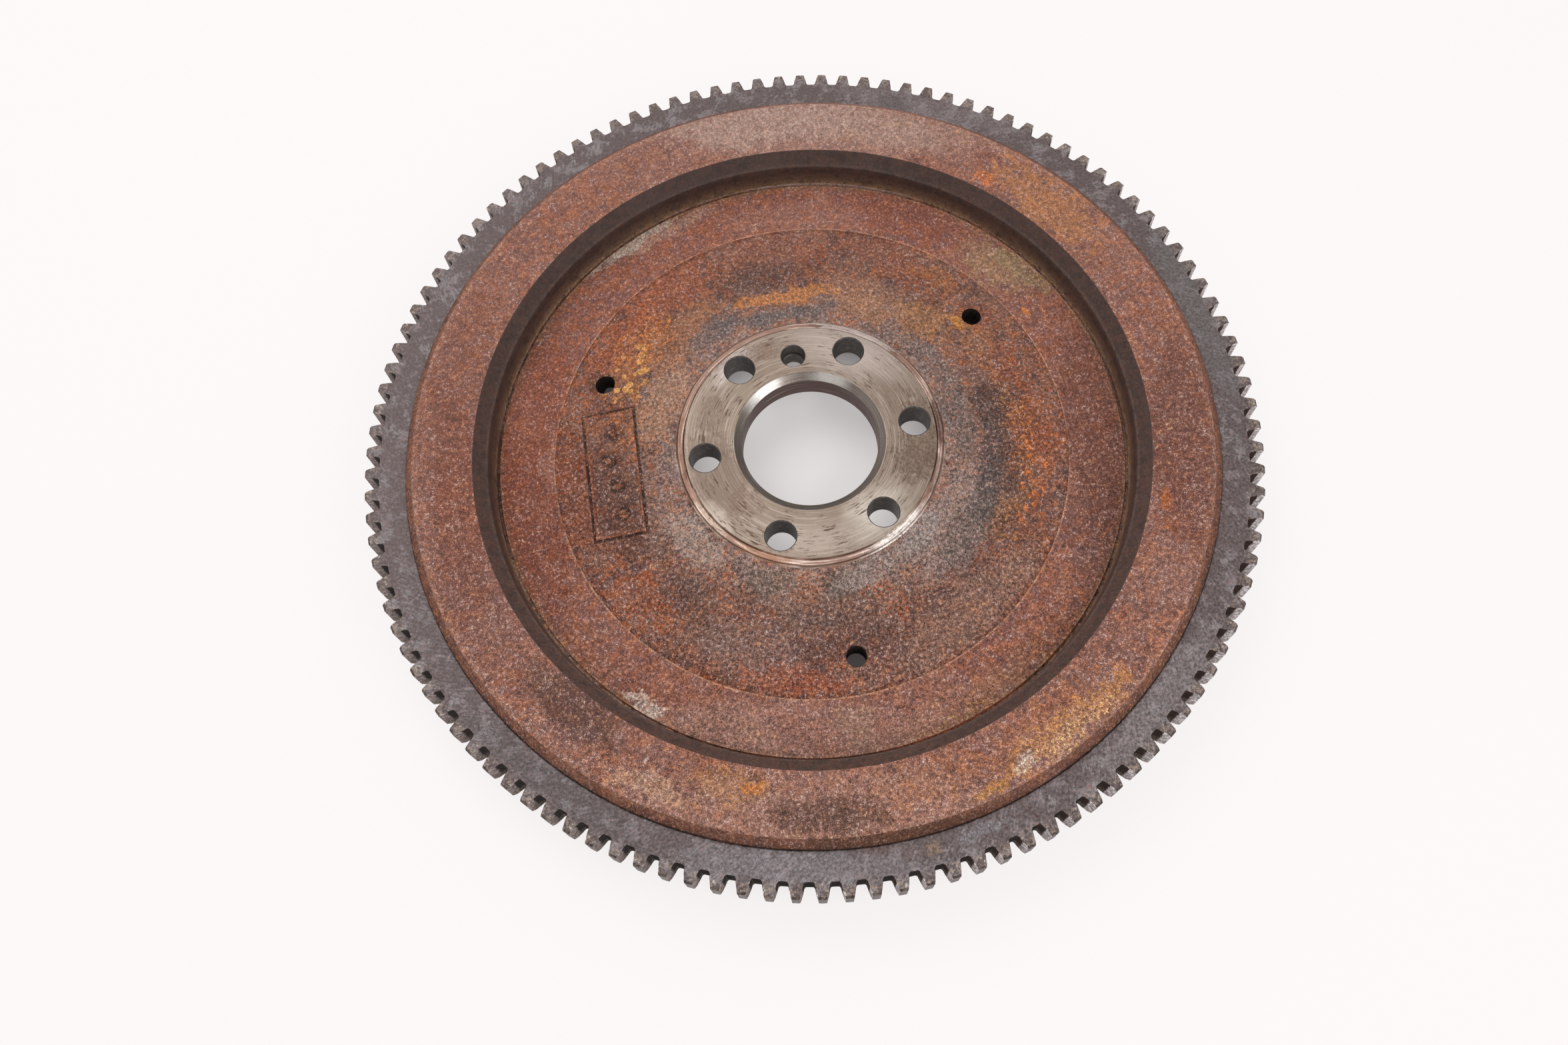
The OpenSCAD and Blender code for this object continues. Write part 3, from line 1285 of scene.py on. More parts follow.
@dataclass
class FlywheelDisc:
    """The cast iron disc with its hub, web and rim."""

    bore_r: float = 23.0
    bore_lead: float = 2.5
    bore_lead_depth: float = 2.0
    face_r: float = 42.4
    face_groove: float = 0.5
    face_step: float = 1.7
    face_step_drop: float = 0.5
    hub_back: float = -10.8
    bolt_r: float = 35.75
    bolt_hole_r: float = 5.15
    bolt_edge: float = 0.35
    bolt_angles: tuple[float, ...] = (0.0, 58.0, 122.0, 180.0, 244.0, 302.0)
    dowel_angle: float = 90.0
    dowel_place: float = 32.1
    dowel_hole_r: float = 4.1
    dowel_hole_depth: float = 6.0
    knockout_r: float = 3.4
    web_slope: float = 7.9
    web_drop: float = 1.3
    web_r: float = 87.0
    land_step: float = 0.45
    service_r: float = 75.2
    service_hole_r: float = 3.4
    service_angles: tuple[float, ...] = (30.8, 150.8, 270.8)
    pad_angle: float = 178.2
    pad_offset: float = 66.8
    pad_length: float = 45.4
    pad_width: float = 17.0
    pad_rise: float = 0.4
    pad_edge: float = 0.18
    moat_width: float = 0.9
    moat_depth: float = 0.4
    mark_r: float = 3.0
    mark_depth: float = 0.3
    mark_pitch: float = 8.4
    pointer_turns: tuple[float, ...] = (20.0, 95.0, -50.0, 160.0)
    dish_r: float = 107.2
    relief_width: float = 1.1
    relief_depth: float = 1.9
    wall_draft: float = 1.0
    cone_width: float = 4.3
    cone_height: float = 4.4
    rim_rise: float = 5.45
    rim_bevel: float = 3.0
    seat_r: float = 135.5
    ring_bottom: float = -11.0
    shoulder_width: float = 4.5
    shoulder_bevel: float = 1.5
    cover_z: float = -22.9
    friction_z: float = -23.5
    friction_r: float = 117.0
    recess_r: float = 80.0
    friction_groove: float = 2.0
    friction_groove_depth: float = 1.5
    recess_fillet: float = 4.0
    recess_edge: float = 0.8
    cover_r: float = 127.0
    cover_hole_r: float = 3.4
    cover_hole_depth: float = 16.0
    cover_hole_edge: float = 0.8
    cover_angles: tuple[float, ...] = (0.0, 60.0, 120.0, 180.0, 240.0, 300.0)
    cover_dowel_r: float = 4.0
    cover_dowel_depth: float = 10.5
    cover_dowel_angles: tuple[float, ...] = (30.0, 150.0, 270.0)
    steps: int = 360
    web_cuts: int = 36
    flat_cuts: int = 5

    def web_z(self, r: float) -> float:
        """Height of the cast web at a radius."""
        return -self.web_drop - math.tan(math.radians(self.web_slope)) * (
            r - self.step_r
        )

    @property
    def step_r(self) -> float:
        """Outer radius of the narrow step round the hub's face."""
        return self.face_r + self.face_groove + self.face_step

    @property
    def land_z(self) -> float:
        """Height of the turned land."""
        return self.web_z(self.web_r) - self.land_step

    @property
    def land_r(self) -> float:
        """Radius where the turned land starts."""
        return self.web_r + self.land_step

    @property
    def slope(self) -> Matrix:
        """Rotation that lays an upright tool square to the web, at +X."""
        return Matrix.Rotation(math.radians(self.web_slope), 4, "Y")

    def mark_places(self) -> list[Matrix]:
        """Where each date mark stands on the pad."""
        height = self.web_z(self.pad_offset) + self.pad_rise
        turns = [self.pad_angle + turn * self.mark_pitch for turn in MARK_TURNS]
        return [at(self.pad_offset, turn, height) @ self.slope for turn in turns]

    def to_pad(self, piece: Workpiece) -> Workpiece:
        """Turns a piece from +X to the pad's angle."""
        return piece.moved(Matrix.Rotation(math.radians(self.pad_angle), 4, "Z"))

    def engine_side(self) -> list[Corner]:
        """Corners of the section from the bore out to the ring's seat."""
        cone_r = self.dish_r + self.wall_draft
        groove_r = self.dish_r - self.relief_width
        groove_z = self.land_z - self.relief_depth
        fillet = 0.8 * (self.web_drop - self.face_step_drop)
        return [
            Corner(self.bore_r, -self.bore_lead_depth, 0.12),
            Corner(self.bore_r + self.bore_lead, 0.0, 0.12),
            Corner(self.face_r, 0.0, 0.12),
            Corner(
                self.face_r + self.face_groove / 2,
                -self.face_step_drop - self.face_groove / 2,
            ),
            Corner(self.face_r + self.face_groove, -self.face_step_drop, 0.06),
            Corner(self.step_r, -self.face_step_drop, 0.12),
            Corner(self.step_r + 0.1, self.web_z(self.step_r), fillet),
            Corner(self.web_r, self.web_z(self.web_r), 0.3),
            Corner(self.land_r, self.land_z, 0.12),
            Corner(groove_r, self.land_z, 0.25),
            Corner(groove_r, groove_z, 0.25),
            Corner(self.dish_r, groove_z, 0.25),
            Corner(self.dish_r, self.land_z, 0.25),
            Corner(cone_r, self.rim_rise - self.cone_height, 0.3),
            Corner(cone_r + self.cone_width, self.rim_rise, 0.4),
            Corner(self.seat_r - self.rim_bevel, self.rim_rise, 0.4),
            Corner(self.seat_r, self.rim_rise - self.rim_bevel, 0.3),
        ]

    def clutch_side(self) -> list[Corner]:
        """Corners of the section from the ring's seat back to the bore."""
        shoulder_r = self.seat_r + self.shoulder_width
        groove_r = self.friction_r + self.friction_groove
        groove_z = self.friction_z + self.friction_groove_depth
        fall = math.tan(math.radians(self.web_slope))
        floor_z = self.hub_back - fall * (
            self.recess_r - self.recess_fillet - self.step_r
        )
        return [
            Corner(self.seat_r, self.ring_bottom),
            Corner(shoulder_r, self.ring_bottom, 0.25),
            Corner(shoulder_r, self.cover_z + self.shoulder_bevel, 0.25),
            Corner(shoulder_r - self.shoulder_bevel, self.cover_z, 0.25),
            Corner(groove_r, self.cover_z, 0.12),
            Corner(groove_r, groove_z, 0.25),
            Corner(self.friction_r, groove_z, 0.25),
            Corner(self.friction_r, self.friction_z, 0.12),
            Corner(self.recess_r + self.recess_edge, self.friction_z, 0.12),
            Corner(self.recess_r, self.friction_z + self.recess_edge, 0.12),
            Corner(self.recess_r, floor_z, self.recess_fillet),
            Corner(self.step_r, self.hub_back, 1.5),
            Corner(self.bore_r + self.bolt_edge, self.hub_back, 0.12),
            Corner(self.bore_r, self.hub_back + self.bolt_edge, 0.12),
        ]

    def blank(self) -> Workpiece:
        """Draws the section, rounds its corners and spins it.

        Returns:
            The turned and cast blank.
        """
        corners = self.engine_side() + self.clutch_side()
        line = [(c.r, 0.0, c.z) for c in corners]
        piece = Workpiece("cast_disc", line[0]).draw(line)
        ends = [(corners[0].r, corners[0].z), (corners[-1].r, corners[-1].z)]
        piece.pick(
            "VERT",
            lambda v: any(abs(v.x - r) + abs(v.z - z) < 1e-3 for r, z in ends),
        )
        piece.join_picked()
        for edge in sorted({c.edge for c in corners if c.edge}):
            places = [(c.r, c.z) for c in corners if c.edge == edge]
            wide = edge > 2
            piece.soften(places, edge, 6 if wide else 2)
        self.divide_lengths(piece)
        return piece.spin(self.steps)

    def divide_lengths(self, piece: Workpiece) -> None:
        """Cuts the section's long lines, so that the web can carry its lumps.

        Args:
            piece: The drawn section.
        """
        web_line, wide_line = 30.0, 12.0

        def on_web(ends: list[Vector]) -> bool:
            """True for the line of the cast web."""
            low, high = sorted(v.x for v in ends)
            over_back = ends[0].z > self.hub_back
            return high - low > web_line and over_back and high < self.land_r

        def on_flat(ends: list[Vector]) -> bool:
            """True for the other wide lines."""
            low, high = sorted(v.x for v in ends)
            return high - low > wide_line and not on_web(ends)

        piece.divide(on_flat, self.flat_cuts)
        piece.divide(on_web, self.web_cuts)

    def slab(self, name: str, grow: float, low: float, high: float) -> Workpiece:
        """Spins a strip along the web's slope and trims it square to the pad.

        Args:
            name: The piece's name.
            grow: How far it stands out all round the pad, in millimetres.
            low: Height of its underside over the web, in millimetres.
            high: Height of its top over the web, in millimetres.

        Returns:
            The slab, on +X.
        """
        reach, sweep = 14.0, 52.0
        near, far = self.pad_offset - reach, self.pad_offset + reach
        line = [
            (near, 0.0, self.web_z(near) + high),
            (far, 0.0, self.web_z(far) + high),
            (far, 0.0, self.web_z(far) + low),
            (near, 0.0, self.web_z(near) + low),
            (near, 0.0, self.web_z(near) + high),
        ]
        piece = Workpiece(name, line[0]).draw(line).tidy()
        piece.divide(lambda ends: abs(ends[0].x - ends[1].x) > reach, 12)
        piece.spin(44, sweep)
        piece.moved(Matrix.Rotation(math.radians(sweep / 2), 4, "Z"))
        piece.close_ends()
        across, along = self.pad_width / 2 + grow, self.pad_length / 2 + grow
        for side in (1, -1):
            piece.trim((self.pad_offset + side * across, 0, 0), (side, 0, 0))
        for side in (1, -1):
            piece.trim((0, side * along, 0), (0, side, 0))
        return piece.tidy()

    def pad(self) -> Workpiece:
        """Models the raised pad.

        Returns:
            The pad, with its foot in the web.
        """
        piece = self.slab("date_pad", 0.0, -3.0, self.pad_rise)
        piece.break_edges(self.pad_edge, 2, 50)
        return self.to_pad(piece)

    def pointers(self) -> list[Workpiece]:
        """Models the bar that stands in each date mark, each at its own turn.

        Returns:
            The bars, with their feet in the iron.
        """
        long, tip, tail = self.mark_r * 0.62, self.mark_r * 0.13, self.mark_r * 0.312
        foot, height = -1.2, 1.15
        line = [
            (long, tip, foot),
            (long, -tip, foot),
            (-long, -tail, foot),
            (-long, tail, foot),
            (long, tip, foot),
        ]
        bar = Workpiece("date_pointer", line[0]).draw(line).tidy()
        bar.close_ends()
        bar.edit(everything=True)
        bpy.ops.mesh.extrude_region_move(
            TRANSFORM_OT_translate={"value": (0.0, 0.0, height * MM)}
        )
        bar.leave()
        bar.tidy()
        spins = [Matrix.Rotation(math.radians(t), 4, "Z") for t in self.pointer_turns]
        bars = [bar.copy(p @ spin) for p, spin in zip(self.mark_places(), spins)]
        bpy.data.objects.remove(bar.body)
        return bars

    def moat(self) -> Workpiece:
        """Models the cutter of the shallow groove round the pad."""
        return self.to_pad(
            self.slab("pad_groove", self.moat_width, -self.moat_depth, 3.0)
        )

    def drills(self) -> list[Workpiece]:
        """Every drill that cuts the disc, each in its place.

        Returns:
            The cutters, which don't touch each other.
        """
        over = 1.0
        back, edge = self.hub_back - over, self.bolt_edge
        bolt = turned(
            "bolt_drill",
            [
                Corner(0, back),
                Corner(self.bolt_hole_r, back),
                Corner(self.bolt_hole_r, -edge),
                Corner(self.bolt_hole_r + edge + over, over),
                Corner(0, over),
            ],
            64,
        )
        dowel = turned(
            "dowel_drill",
            [
                Corner(0, back),
                Corner(self.knockout_r, back),
                Corner(self.knockout_r, -self.dowel_hole_depth - 0.15),
                Corner(self.dowel_hole_r - 0.3, -self.dowel_hole_depth),
                Corner(self.dowel_hole_r, -self.dowel_hole_depth + 0.3),
                Corner(self.dowel_hole_r, -0.25),
                Corner(self.dowel_hole_r + 0.25 + over, over),
                Corner(0, over),
            ],
            56,
        )
        service = turned(
            "service_drill",
            [
                Corner(0, self.friction_z + 0.5),
                Corner(self.service_hole_r, self.friction_z + 0.5),
                Corner(self.service_hole_r, 0.0),
                Corner(0, 0.0),
            ],
            48,
        )
        cover_top = self.cover_z + self.cover_hole_depth
        cover = turned(
            "cover_drill",
            [
                Corner(0, self.cover_z - over),
                Corner(
                    self.cover_hole_r + self.cover_hole_edge + over,
                    self.cover_z - over,
                ),
                Corner(self.cover_hole_r, self.cover_z + self.cover_hole_edge),
                Corner(self.cover_hole_r, cover_top),
                Corner(0, cover_top),
            ],
            48,
        )
        socket_top = self.cover_z + self.cover_dowel_depth
        socket = turned(
            "socket_drill",
            [
                Corner(0, self.cover_z - over),
                Corner(self.cover_dowel_r, self.cover_z - over),
                Corner(self.cover_dowel_r, socket_top),
                Corner(0, socket_top),
            ],
            48,
        )
        placed = (
            (bolt, self.bolt_r, self.bolt_angles),
            (dowel, self.dowel_place, (self.dowel_angle,)),
            (service, self.service_r, self.service_angles),
            (cover, self.cover_r, self.cover_angles),
            (socket, self.cover_r, self.cover_dowel_angles),
        )
        cutters = []
        for drill, radius, angles in placed:
            cutters += [drill.copy(at(radius, angle)) for angle in angles]
            bpy.data.objects.remove(drill.body)
        return cutters

    def surface_tools(self) -> list[Workpiece]:
        """Cutters that stand square to the web: hole mouths and date marks.

        Returns:
            The cutters, which don't touch each other.
        """
        mouth = turned(
            "hole_mouth",
            [
                Corner(0, -1.0),
                Corner(self.service_hole_r - 0.6, -1.0),
                Corner(self.service_hole_r + 0.4, 0.0),
                Corner(self.service_hole_r + 0.9, 0.5),
                Corner(0, 0.5),
            ],
            48,
        )
        mark = turned(
            "date_stamp",
            [
                Corner(0, -self.mark_depth),
                Corner(self.mark_r - 0.3, -self.mark_depth),
                Corner(self.mark_r, -0.05),
                Corner(self.mark_r + 0.3, 0.15),
                Corner(self.mark_r + 0.4, 0.6),
                Corner(0, 0.6),
            ],
            40,
        )
        height = self.web_z(self.service_r)
        mouths = [at(self.service_r, angle, height) for angle in self.service_angles]
        cutters = [mouth.copy(place @ self.slope) for place in mouths]
        cutters += [mark.copy(place) for place in self.mark_places()]
        for tool in (mouth, mark):
            bpy.data.objects.remove(tool.body)
        return cutters

    def zone_of(self, face: bpy.types.MeshPolygon) -> DiscZone:
        """The zone of a face, by its place and normal.

        Args:
            face: A face of the finished mesh.

        Returns:
            Its zone.
        """
        middle, normal = face.center / MM, face.normal
        r = off_axis(middle)
        if r < self.step_r + 1.9 and middle.z > self.hub_back + 0.02:
            if self.in_hub_hole(middle, abs(normal.z) > LEVEL):
                return DiscZone.HOLE_WALL
            if r < self.bore_r + 0.06 and abs(normal.z) < UPRIGHT:
                return DiscZone.BORE_WALL
        elif abs(normal.z) < 0.5 and self.in_hole(
            middle, self.service_r, self.service_angles, self.service_hole_r + 0.2
        ):
            return DiscZone.SERVICE_HOLE
        elif middle.z < self.ring_bottom + 0.3 or normal.z < -UPRIGHT:
            return self.back_zone(normal, r)
        borders = (
            (self.bore_r + self.bore_lead + 0.02, DiscZone.BORE_LEAD),
            (self.face_r + 0.02, DiscZone.HUB_FACE),
            (self.step_r + 0.7, DiscZone.HUB_STEP),
            (self.web_r + 0.1, DiscZone.WEB),
            (self.dish_r - self.relief_width - 0.05, DiscZone.LAND),
            (self.dish_r + 0.05, DiscZone.GROOVE),
            (self.dish_r + self.wall_draft + self.cone_width + 0.1, DiscZone.DISH_WALL),
            (self.seat_r - self.rim_bevel + 0.15, DiscZone.RIM_TOP),
        )
        return next((zone for edge, zone in borders if r < edge), DiscZone.RIM_BEVEL)

    def back_zone(self, normal: Vector, r: float) -> DiscZone:
        """The zone of a face on the clutch side.

        Args:
            normal: The face's normal.
            r: Its distance from the axis.

        Returns:
            Its zone.
        """
        if normal.z < -0.9 and self.recess_r < r < self.friction_r:
            return DiscZone.FRICTION
        if normal.z < -0.6 and self.friction_r + 1 < r:
            return DiscZone.COVER_FACE
        return DiscZone.BACK_CAST

    def in_hub_hole(self, middle: Vector, level: bool) -> bool:
        """True for a face of the crankshaft's bolt holes or its dowel hole.

        Args:
            middle: The face's middle, in millimetres.
            level: True if it lies level, as the step in the dowel hole does.
        """
        bolt_reach, dowel_reach = self.bolt_hole_r + 0.85, self.dowel_hole_r + 0.4
        if self.in_hole(middle, self.bolt_r, self.bolt_angles, bolt_reach):
            if not level:
                return True
        sunk = not level or middle.z <= -0.02
        dowel = (self.dowel_angle,)
        return sunk and self.in_hole(middle, self.dowel_place, dowel, dowel_reach)

    @staticmethod
    def in_hole(
        middle: Vector, radius: float, angles: Sequence[float], reach: float
    ) -> bool:
        """True where a point lies within reach of one of a circle of holes."""
        for angle in angles:
            x = radius * math.cos(math.radians(angle))
            y = radius * math.sin(math.radians(angle))
            if math.hypot(middle.x - x, middle.y - y) < reach:
                return True
        return False

    def casting_weight(self, place: Vector) -> float:
        """How much of the casting's unevenness a vertex takes.

        Args:
            place: The vertex's place, in millimetres.

        Returns:
            From 0 to 1.
        """
        r = off_axis(place)
        if not (self.step_r + 0.8 < r < self.web_r - 0.4):
            return 0.0
        if abs(place.z - self.web_z(r)) > 0.6:
            return 0.0
        return min(1.0, (r - self.step_r) / 4, (self.web_r - r) / 2)

    def finishes(self) -> dict[DiscZone, bpy.types.Material]:
        """The material of each zone."""
        looks = {
            DiscZone.HUB_FACE: HUB_STEEL,
            DiscZone.HUB_STEP: TurnedSteel(
                "hub_step",
                (146, 116, 102),
                stain=(96, 66, 52),
                light=(228, 206, 194),
                stain_share=0.6,
                smear_share=0.7,
                mark_size=0.6,
                mark_depth=0.05,
                mark_share=0.8,
                roughness=0.36,
                patches=(
                    # Painted highlights: the pale patches at 58°, 212° and 300°.
                    Patch(58, 43.5, 5, 38, (190, 178, 172), 0.75, 1.0, 0.3),
                    Patch(-2, 43.5, 5, 13, (84, 58, 48), 0.9, 0.8, 0.2),
                    Patch(335, 43.5, 5, 9, (110, 84, 72), 0.6, 0.8, 0.2),
                    Patch(178, 43.5, 5, 22, (118, 84, 66), 0.6, 1.0, 0.4),
                    Patch(212, 43.5, 5, 12, (198, 178, 162), 0.7, 1.0, 0.4),
                    Patch(240, 43.5, 5, 12, (168, 122, 86), 0.6, 1.0, 0.6),
                    Patch(300, 43.5, 7, 18, (255, 248, 240), 0.95, 0.4, 0.4),
                ),
            ),
            DiscZone.BORE_LEAD: TurnedSteel(
                "bore_lead",
                (132, 122, 114),
                stain_share=0.1,
                smear_share=0.2,
                mark_size=0.3,
                roughness=0.3,
                patches=(
                    # Painted reflections: bright at 124° and 64°, and dark at 180°.
                    Patch(124, 24.2, 7, 11, (255, 250, 246), 1.0, 0.1, 0.0),
                    Patch(64, 24.2, 7, 10, (226, 220, 214), 0.9, 0.1, 0.0),
                    Patch(180, 24.2, 7, 18, (92, 84, 78), 0.7, 0.1, 0.1),
                ),
            ),
            DiscZone.BORE_WALL: TurnedSteel(
                "bore_wall", (84, 54, 46), stain_share=0.7, metallic=0.3
            ),
            DiscZone.HOLE_WALL: TurnedSteel(
                "hole_wall",
                (92, 87, 83),
                stain_share=0.5,
                mark_share=0.15,
                marks=Marks.PLAIN,
                metallic=0.5,
            ),
            # Painted shade: the service holes' walls are near black, the shade inside the
            # holes.
            DiscZone.SERVICE_HOLE: RustedIron(
                "service_hole",
                ((0, (40, 31, 28)), (1, (40, 31, 28))),
                mottle=0.0,
                glint_share=0.1,
            ),
            DiscZone.WEB: WEB_RUST,
            DiscZone.LAND: LAND_RUST,
            DiscZone.GROOVE: GROOVE_RUST,
            DiscZone.DISH_WALL: WALL_RUST,
            DiscZone.RIM_TOP: RIM_RUST,
            DiscZone.RIM_BEVEL: BEVEL_RUST,
            DiscZone.BACK_CAST: BACK_RUST,
            DiscZone.FRICTION: TurnedSteel(
                "friction_face",
                (138, 132, 128),
                stain=(96, 70, 56),
                stain_share=0.5,
                mark_size=0.7,
                mark_depth=0.02,
                metallic=0.6,
            ),
            DiscZone.COVER_FACE: TurnedSteel(
                "cover_face",
                (132, 112, 102),
                stain=(104, 70, 54),
                stain_share=0.8,
                mark_size=0.8,
                metallic=0.5,
                roughness=0.5,
            ),
        }
        return {zone: look.material() for zone, look in looks.items()}

    def build(self) -> Workpiece:
        """Makes the disc.

        Returns:
            The finished piece, riding on the frame.
        """
        piece = self.blank()
        piece.combine([self.moat()], "DIFFERENCE")
        piece.combine([self.pad()], "UNION")
        piece.combine(self.drills(), "DIFFERENCE")
        piece.combine(self.surface_tools(), "DIFFERENCE")
        piece.combine(self.pointers(), "UNION")
        piece.tidy(0.004)
        group = piece.group("casting", self.casting_weight)
        piece.roughen(group, 9.0, 0.3)
        piece.roughen(group, 2.6, 0.14)
        piece.dress(self.finishes(), self.zone_of)
        piece.smooth()
        piece.ride("rusted_iron", "flywheel_disc")
        return piece


HUB_STEEL = TurnedSteel(
    "hub_face",
    (140, 124, 110),
    stain_share=0.75,
    smear_share=0.95,
    mark_share=0.26,
    patches=(
        # Brown stains at the right side, made darker there and at 190° as painted shade;
        # the pale patches at 300°, 262°, 58°, 122° and 213° are painted highlights of the
        # turned face.
        Patch(-6, 37, 8, 18, (96, 72, 58), 0.75, 1.6),
        Patch(-24, 35, 9, 9, (88, 66, 54), 0.7, 2.0),
        Patch(338, 36, 7, 10, (112, 92, 78), 0.6),
        Patch(22, 31, 6, 8, (108, 84, 70), 0.3, 2.0),
        Patch(190, 33, 14, 24, (112, 94, 82), 0.65, 0.8, 0.1),
        Patch(152, 34, 7, 10, (118, 98, 86), 0.6, 1.0, 0.3),
        Patch(216, 31, 6, 9, (108, 84, 72), 0.6, 1.6),
        Patch(300, 34, 13, 18, (206, 196, 184), 0.8, 0.1, 0.0),
        Patch(262, 36, 10, 22, (176, 162, 150), 0.65, 0.2, 0.0),
        Patch(58, 36, 14, 32, (190, 176, 168), 0.7, 0.1, 0.0),
        Patch(122, 39, 7, 14, (196, 184, 180), 0.6, 0.4, 0.0),
        Patch(213, 41, 4, 12, (190, 176, 164), 0.6, 0.4, 0.0),
        Patch(108, 38, 5, 9, (112, 82, 66), 0.6),
        Patch(245, 39, 4, 7, (104, 76, 62), 0.6, 2.0),
    ),
)

PAD_ANGLE, PAD_RADIUS = FlywheelDisc.pad_angle, FlywheelDisc.pad_offset
MARK_PITCH = FlywheelDisc.mark_pitch

